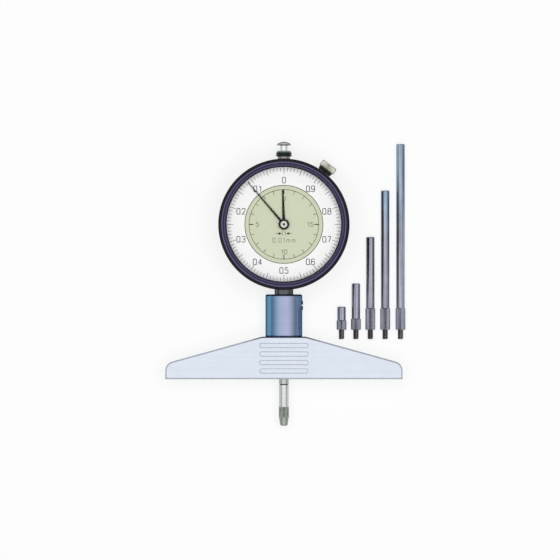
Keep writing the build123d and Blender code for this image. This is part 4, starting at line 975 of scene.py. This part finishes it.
def make_clamp_knob():
    """Nickel knob of the bezel clamp: a ribbed neck, coloured dark as painted shade between the bezel and the
    head, and a head with ridges along its axis.
    """
    outer = clamp_knob_inner + clamp_knob_length
    bore_end = clamp_knob_inner + clamp_bore_depth
    neck_ridges = clamp_knob_inner + clamp_neck_chamfer
    ridges_start = clamp_neck_outer + clamp_ridge_start
    ridges_end = outer - clamp_ridge_end
    corners = [
        (0, bore_end, 0),
        (clamp_bore_radius, bore_end, 0),
        (clamp_bore_radius, clamp_knob_inner, 0),
        (clamp_neck_radius - clamp_neck_chamfer, clamp_knob_inner, 0),
        (clamp_neck_radius, neck_ridges, 0),
        (clamp_neck_radius, clamp_neck_outer, 0),
        (clamp_knob_radius - clamp_head_inset, clamp_neck_outer, crisp_edge),
        (clamp_knob_radius, ridges_start, 0),
        (clamp_knob_radius, ridges_end, 0),
        (clamp_knob_radius - clamp_dome_inset, outer - clamp_dome_drop, clamp_dome_rounding),
        (clamp_knob_radius - clamp_face_inset, outer, clamp_face_rounding),
        (0, outer, 0),
    ]
    form = turned(corners, clamp_knob_steps, rows={7: 2})
    straight_knurl(
        form, clamp_neck_radius, neck_ridges, clamp_neck_outer, clamp_neck_ridge_depth, clamp_knob_steps // 2
    )
    straight_knurl(form, clamp_knob_radius, ridges_start, ridges_end, clamp_ridge_depth, clamp_knob_steps)
    form = settle(form, clamp_place)
    keep_piece(form, "ridged_clamp_knob", finishes["nickel"], "clamp_knob_set", ["clamp_knob"])


def make_dust_collar():
    """Dust collar round the top of the spindle, with a grip groove and a sloped shoulder."""
    rim = half_width("dust_collar")
    bottom = low("dust_collar").y
    top = high("dust_collar").y
    groove = [bottom + height for height in collar_groove_heights]
    corners = [
        (collar_bore, bottom, 0),
        (collar_foot_radius, bottom, crisp_edge),
        (rim, bottom + collar_rim_inset, eased_edge),
        (rim, groove[0], rubbed_edge),
        (rim - collar_rim_inset, groove[1], crisp_edge),
        (rim - collar_rim_inset, groove[2], crisp_edge),
        (rim, groove[3], rubbed_edge),
        (rim - collar_shoulder, top - collar_shoulder_drop, soft_edge),
        (rim - collar_top_inset, top, eased_edge),
        (collar_bore, top, eased_edge),
    ]
    form = settle(turned(corners, collar_steps, closed=True), along_spindle)
    keep_piece(
        form, "grooved_dust_collar", finishes["collar_black"], "gauge_body", ["dust_collar"]
    )


def make_return_spring():
    """The return spring (in the gauge it stretches as the spindle moves in), as a welded, smooth-shaded copy
    of its CAD node.
    """
    form = bmesh.new()
    form.from_mesh(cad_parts["return_spring"].data)
    bmesh.ops.remove_doubles(form, verts=form.verts, dist=weld_distance)
    spring = smooth_piece(form, "coiled_return_spring", finishes["spring_steel"])
    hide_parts("return_spring")
    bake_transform(spring)


# Print on the dials


# Strokes of each figure as (points, closed), in shares of its height, with x across and y up
wide = 0.55
figures = {
    "0": [([(0, 0), (wide, 0), (wide, 1), (0, 1)], True)],
    "1": [([(0.1, 0.76), (0.34, 1), (0.34, 0)], False)],
    "2": [([(0, 0.78), (0, 1), (wide, 1), (wide, 0.58), (0, 0), (wide, 0)], False)],
    "3": [
        ([(0, 0.84), (0, 1), (wide, 1), (wide, 0.53), (0.2, 0.53)], False),
        ([(0.2, 0.53), (wide, 0.53), (wide, 0), (0, 0), (0, 0.16)], False),
    ],
    "4": [([(0.42, 0), (0.42, 1), (0, 0.27), (0.58, 0.27)], False)],
    "5": [([(0.53, 1), (0.04, 1), (0.02, 0.58), (wide, 0.62), (wide, 0), (0, 0), (0, 0.16)], False)],
    "6": [
        ([(0, 0), (wide, 0), (wide, 0.58), (0, 0.58)], True),
        ([(0, 0.3), (0, 1), (wide, 1), (wide, 0.84)], False),
    ],
    "7": [([(0, 1), (wide, 1), (0.18, 0)], False)],
    "8": [
        ([(0, 0), (wide, 0), (wide, 0.54), (0, 0.54)], True),
        ([(0.03, 0.54), (0.52, 0.54), (0.52, 1), (0.03, 1)], True),
    ],
    "9": [
        ([(0, 0.42), (wide, 0.42), (wide, 1), (0, 1)], True),
        ([(wide, 0.7), (wide, 0), (0, 0), (0, 0.16)], False),
    ],
    ".": [([(0.0, 0.0), (0.0, 0.09)], False)],
    "m": [
        ([(0, 0), (0, 0.66), (0.36, 0.66), (0.36, 0)], False),
        ([(0.36, 0.5), (0.36, 0.66), (0.72, 0.66), (0.72, 0)], False),
    ],
}
figure_widths = {"1": 0.4, ".": 0.0, "m": 0.72}
corner_rounding = 0.17


def word_strokes(text, centre, height, gap, stretch=1.0):
    """Strokes of a short text, centred on a point, with its figures widened by stretch."""
    widths = [figure_widths.get(letter, wide) * stretch for letter in text]
    left = -(sum(widths) + gap * (len(text) - 1)) / 2
    strokes = []
    for letter, width in zip(text, widths):
        for points, closed in figures[letter]:
            placed = [
                (centre[0] + (left + x * stretch) * height, centre[1] + (y - 0.5) * height) for x, y in points
            ]
            strokes.append((placed, closed, corner_rounding * height))
        left += width + gap
    return strokes


def line(start, end):
    """A straight stroke."""
    return ([start, end], False, 0)


def round_centre(radius, angle):
    """A point round the dial's centre."""
    return (radius * cos(angle), radius * sin(angle))


def tick(angle, inner, outer):
    """A radial stroke about the dial's centre."""
    return line(round_centre(inner, angle), round_centre(outer, angle))


def circle(radius):
    """A closed round stroke about the dial's centre."""
    return ([round_centre(radius, 2 * pi * k / circle_points) for k in range(circle_points)], True, 0)


def raise_ink(form, parts, unit=1.0):
    """Lifts the new points of an extrusion by the ink's whole height, in the form's unit."""
    lifted = [part for part in parts if isinstance(part, bmesh.types.BMVert)]
    bmesh.ops.translate(form, verts=lifted, vec=(0, 0, (ink_rise + ink_root) / unit))


def printed(name, strokes, width, level, body, ink):
    """Ink lines that stand a hair above a dial: each stroke is a low wall, thickened to the line's width."""
    form = bmesh.new()
    for points, closed, rounding in strokes:
        corners = [form.verts.new((x / MM, y / MM, 0)) for x, y in points]
        ends = corners[1:] + corners[:1] if closed else corners[1:]
        for first, second in zip(corners, ends):
            form.edges.new((first, second))
        if rounding:
            turning = corners if closed else corners[1:-1]
            bmesh.ops.bevel(
                form, geom=turning, offset=rounding / MM, segments=stroke_segments, profile=0.5,
                affect="VERTICES", material=-1,
            )
    wall = bmesh.ops.extrude_edge_only(form, edges=form.edges[:])
    bmesh.ops.recalc_face_normals(form, faces=form.faces)
    raise_ink(form, wall["geom"], MM)
    bmesh.ops.scale(form, vec=(MM, MM, MM), verts=form.verts)
    bmesh.ops.translate(form, verts=form.verts, vec=(0, 0, level - ink_root))
    piece = keep_piece(settle(form, dial_place), name, ink, body)
    thickness = piece.modifiers.new("line_width", "SOLIDIFY")
    thickness.thickness = width
    thickness.offset = 0.0
    thickness.use_even_offset = True


def print_arrow_heads(level):
    """Two filled arrow heads that point at each other across the middle of the dial."""
    form = bmesh.new()
    for side in (-1, 1):
        corners = [
            form.verts.new((side * arrow_tip, arrow_y, 0)),
            form.verts.new((side * arrow_back, arrow_y - arrow_half, 0)),
            form.verts.new((side * arrow_back, arrow_y + arrow_half, 0)),
        ]
        bmesh.ops.contextual_create(form, geom=corners)
    heads = bmesh.ops.extrude_face_region(form, geom=form.faces[:])
    raise_ink(form, heads["geom"])
    bmesh.ops.translate(form, verts=form.verts, vec=(0, 0, level - ink_root))
    bmesh.ops.recalc_face_normals(form, faces=form.faces)
    keep_piece(settle(form, dial_place), "arrow_heads", arrow_ink, "gauge_body")


# Both scales start at the top of the dial and run anticlockwise
scale_start = pi / 2


def print_scale_ring():
    """Divisions and figures of the white ring."""
    level = high("scale_ring").z
    step = 2 * pi / scale_divisions
    minor = []
    major = []
    for k in range(scale_divisions):
        if k % scale_group:
            minor.append(tick(scale_start + k * step, tick_minor, tick_outer))
        else:
            major.append(tick(scale_start + k * step, tick_major, tick_outer))
    printed("scale_minor_lines", minor, tick_minor_line, level, "bezel_set", scale_ink)
    printed("scale_major_lines", major, tick_major_line, level, "bezel_set", scale_ink)
    numbers = []
    for k in range(scale_figure_count):
        x, y = round_centre(figure_radius, scale_start + 2 * pi * k / scale_figure_count)
        numbers += word_strokes(f"0.{k}" if k else "0", (x, y - figure_drop), figure_height, figure_gap)
    printed("scale_figures", numbers, figure_line, level, "bezel_set", scale_ink)


def print_count_dial():
    """Divisions, figures, unit and arrows of the green count dial."""
    level = high("count_dial").z
    step = 2 * pi / count_divisions
    quarter = 2 * pi / len(count_radii)
    short_end = count_circle - count_tick
    long_end = count_circle - count_long_tick
    short = [tick(scale_start + k * step, short_end, count_circle) for k in range(count_divisions)]
    long = [tick(scale_start + k * quarter, long_end, count_circle) for k in range(len(count_radii))]
    edge = circle(half_width("count_dial") - count_edge_inset)
    printed("count_lines", [circle(count_circle)] + short, count_line, level, "gauge_body", count_ink)
    printed("count_long_lines", long, count_long_line, level, "gauge_body", count_ink)
    printed("count_edge", [edge], count_edge_line, level, "gauge_body", count_ink)
    counts = []
    for k, (text, radius) in enumerate(count_radii.items()):
        centre = round_centre(radius, scale_start + k * quarter)
        counts += word_strokes(text, centre, count_height, count_gap, count_stretch)
    printed("count_figures", counts, count_figure_line, level, "gauge_body", count_ink)
    unit = word_strokes("0.01mm", (0, unit_y), unit_height, unit_gap)
    printed("unit_figures", unit, unit_line, level, "gauge_body", count_ink)
    bars = []
    tails = []
    for side in (-1, 1):
        bar = side * arrow_bar
        bars.append(line((bar, arrow_y - arrow_bar_half), (bar, arrow_y + arrow_bar_half)))
        tails.append(line((side * arrow_back, arrow_y), (side * arrow_tail, arrow_y)))
    printed("division_bars", bars, arrow_bar_line, level, "gauge_body", count_ink)
    printed("arrow_tails", tails, arrow_tail_line, level, "gauge_body", arrow_ink)
    print_arrow_heads(level)


# Stage


def make_world():
    """White for the camera, a room for metal and glass to mirror, and a plain grey for the light itself."""
    world = bpy.data.worlds.new("studio")
    bpy.context.scene.world = world
    world.use_nodes = True
    nodes = Nodes(world.node_tree)
    world.node_tree.nodes.clear()
    output = nodes.add("ShaderNodeOutputWorld")
    background = nodes.add("ShaderNodeBackground")
    path = nodes.add("ShaderNodeLightPath")
    direction = nodes.split(nodes.add("ShaderNodeTexCoord").outputs["Generated"])
    ramp = nodes.add("ShaderNodeValToRGB")
    ramp.color_ramp.elements[0].color = (horizon_level, horizon_level, horizon_level, 1)
    ramp.color_ramp.elements[1].position = zenith_height
    ramp.color_ramp.elements[1].color = (zenith_level, zenith_level, zenith_level, 1)
    nodes.link(direction["Z"], ramp.inputs[0])
    level = (world_level, world_level, world_level, 1)
    reflected = nodes.mix(nodes.mirrored(path), level, ramp.outputs["Color"])
    seen = nodes.mix(path.outputs["Is Camera Ray"], reflected, (1, 1, 1, 1))
    nodes.link(seen, background.inputs["Color"])
    nodes.link(background.outputs[0], output.inputs["Surface"])


def make_floor():
    """White table under the gauge that keeps a faint shadow."""
    form = bmesh.new()
    bmesh.ops.create_grid(form, x_segments=1, y_segments=1, size=table_half_width)
    bmesh.ops.translate(form, verts=form.verts, vec=(0, 0, low("base_bar").z))
    mesh = bpy.data.meshes.new("table_top")
    form.to_mesh(mesh)
    form.free()
    floor = new_object("table_top", mesh)
    material = bpy.data.materials.new("table_white")
    material.use_nodes = True
    nodes = Nodes(material.node_tree)
    material.node_tree.nodes.clear()
    output = nodes.add("ShaderNodeOutputMaterial")
    diffuse = nodes.add("ShaderNodeBsdfDiffuse")
    diffuse.inputs["Color"].default_value = (table_grey, table_grey, table_grey, 1)
    white = nodes.add("ShaderNodeEmission")
    white.inputs["Color"].default_value = (1, 1, 1, 1)
    path = nodes.add("ShaderNodeLightPath")
    mixed = nodes.add("ShaderNodeMixShader")
    seen = nodes.math("MAXIMUM", path.outputs["Is Camera Ray"], nodes.mirrored(path))
    nodes.link(nodes.math("MULTIPLY", seen, 1 - table_shading), mixed.inputs[0])
    nodes.link(diffuse.outputs[0], mixed.inputs[1])
    nodes.link(white.outputs[0], mixed.inputs[2])
    nodes.link(mixed.outputs[0], output.inputs["Surface"])
    mesh.materials.append(material)


def make_lamps():
    """A ring of soft lamps round the camera. The metal mirrors the room, not the lamps."""
    aim = Vector((view_centre[0], view_centre[1], 0))
    for index in range(lamp_count):
        turn = 2 * pi * (index + 0.5) / lamp_count
        direction = Vector((sin(lamp_tilt) * cos(turn), sin(lamp_tilt) * sin(turn), cos(lamp_tilt)))
        lamp = bpy.data.lights.new(f"ring_lamp_{index}", "AREA")
        lamp.shape = "DISK"
        lamp.size = lamp_size
        lamp.energy = lamp_power * (1 + lamp_side_share * cos(turn))
        item = new_object(lamp.name, lamp)
        item.location = aim + direction * lamp_distance
        item.rotation_euler = direction.to_track_quat("Z", "Y").to_euler()
        item.visible_glossy = False
        item.visible_transmission = False


def make_camera():
    """Straight down on the gauge, with the spindle's axis up the picture."""
    lens = bpy.data.cameras.new("view")
    lens.sensor_width = sensor_width
    lens.lens = sensor_width * camera_height / view_width
    lens.clip_end = camera_reach
    camera = new_object("view", lens)
    camera.location = (view_centre[0], view_centre[1], camera_height)
    bpy.context.scene.camera = camera


bpy.context.scene.view_settings.view_transform = "Standard"
make_world()
make_floor()
make_lamps()
make_camera()
dress_frame()
make_bezel()
make_contact()
for rod_node, rod_knurl in rod_knurls.items():
    make_rod(rod_node, rod_knurl)
make_clamp_knob()
make_dust_collar()
make_return_spring()
print_scale_ring()
print_count_dial()
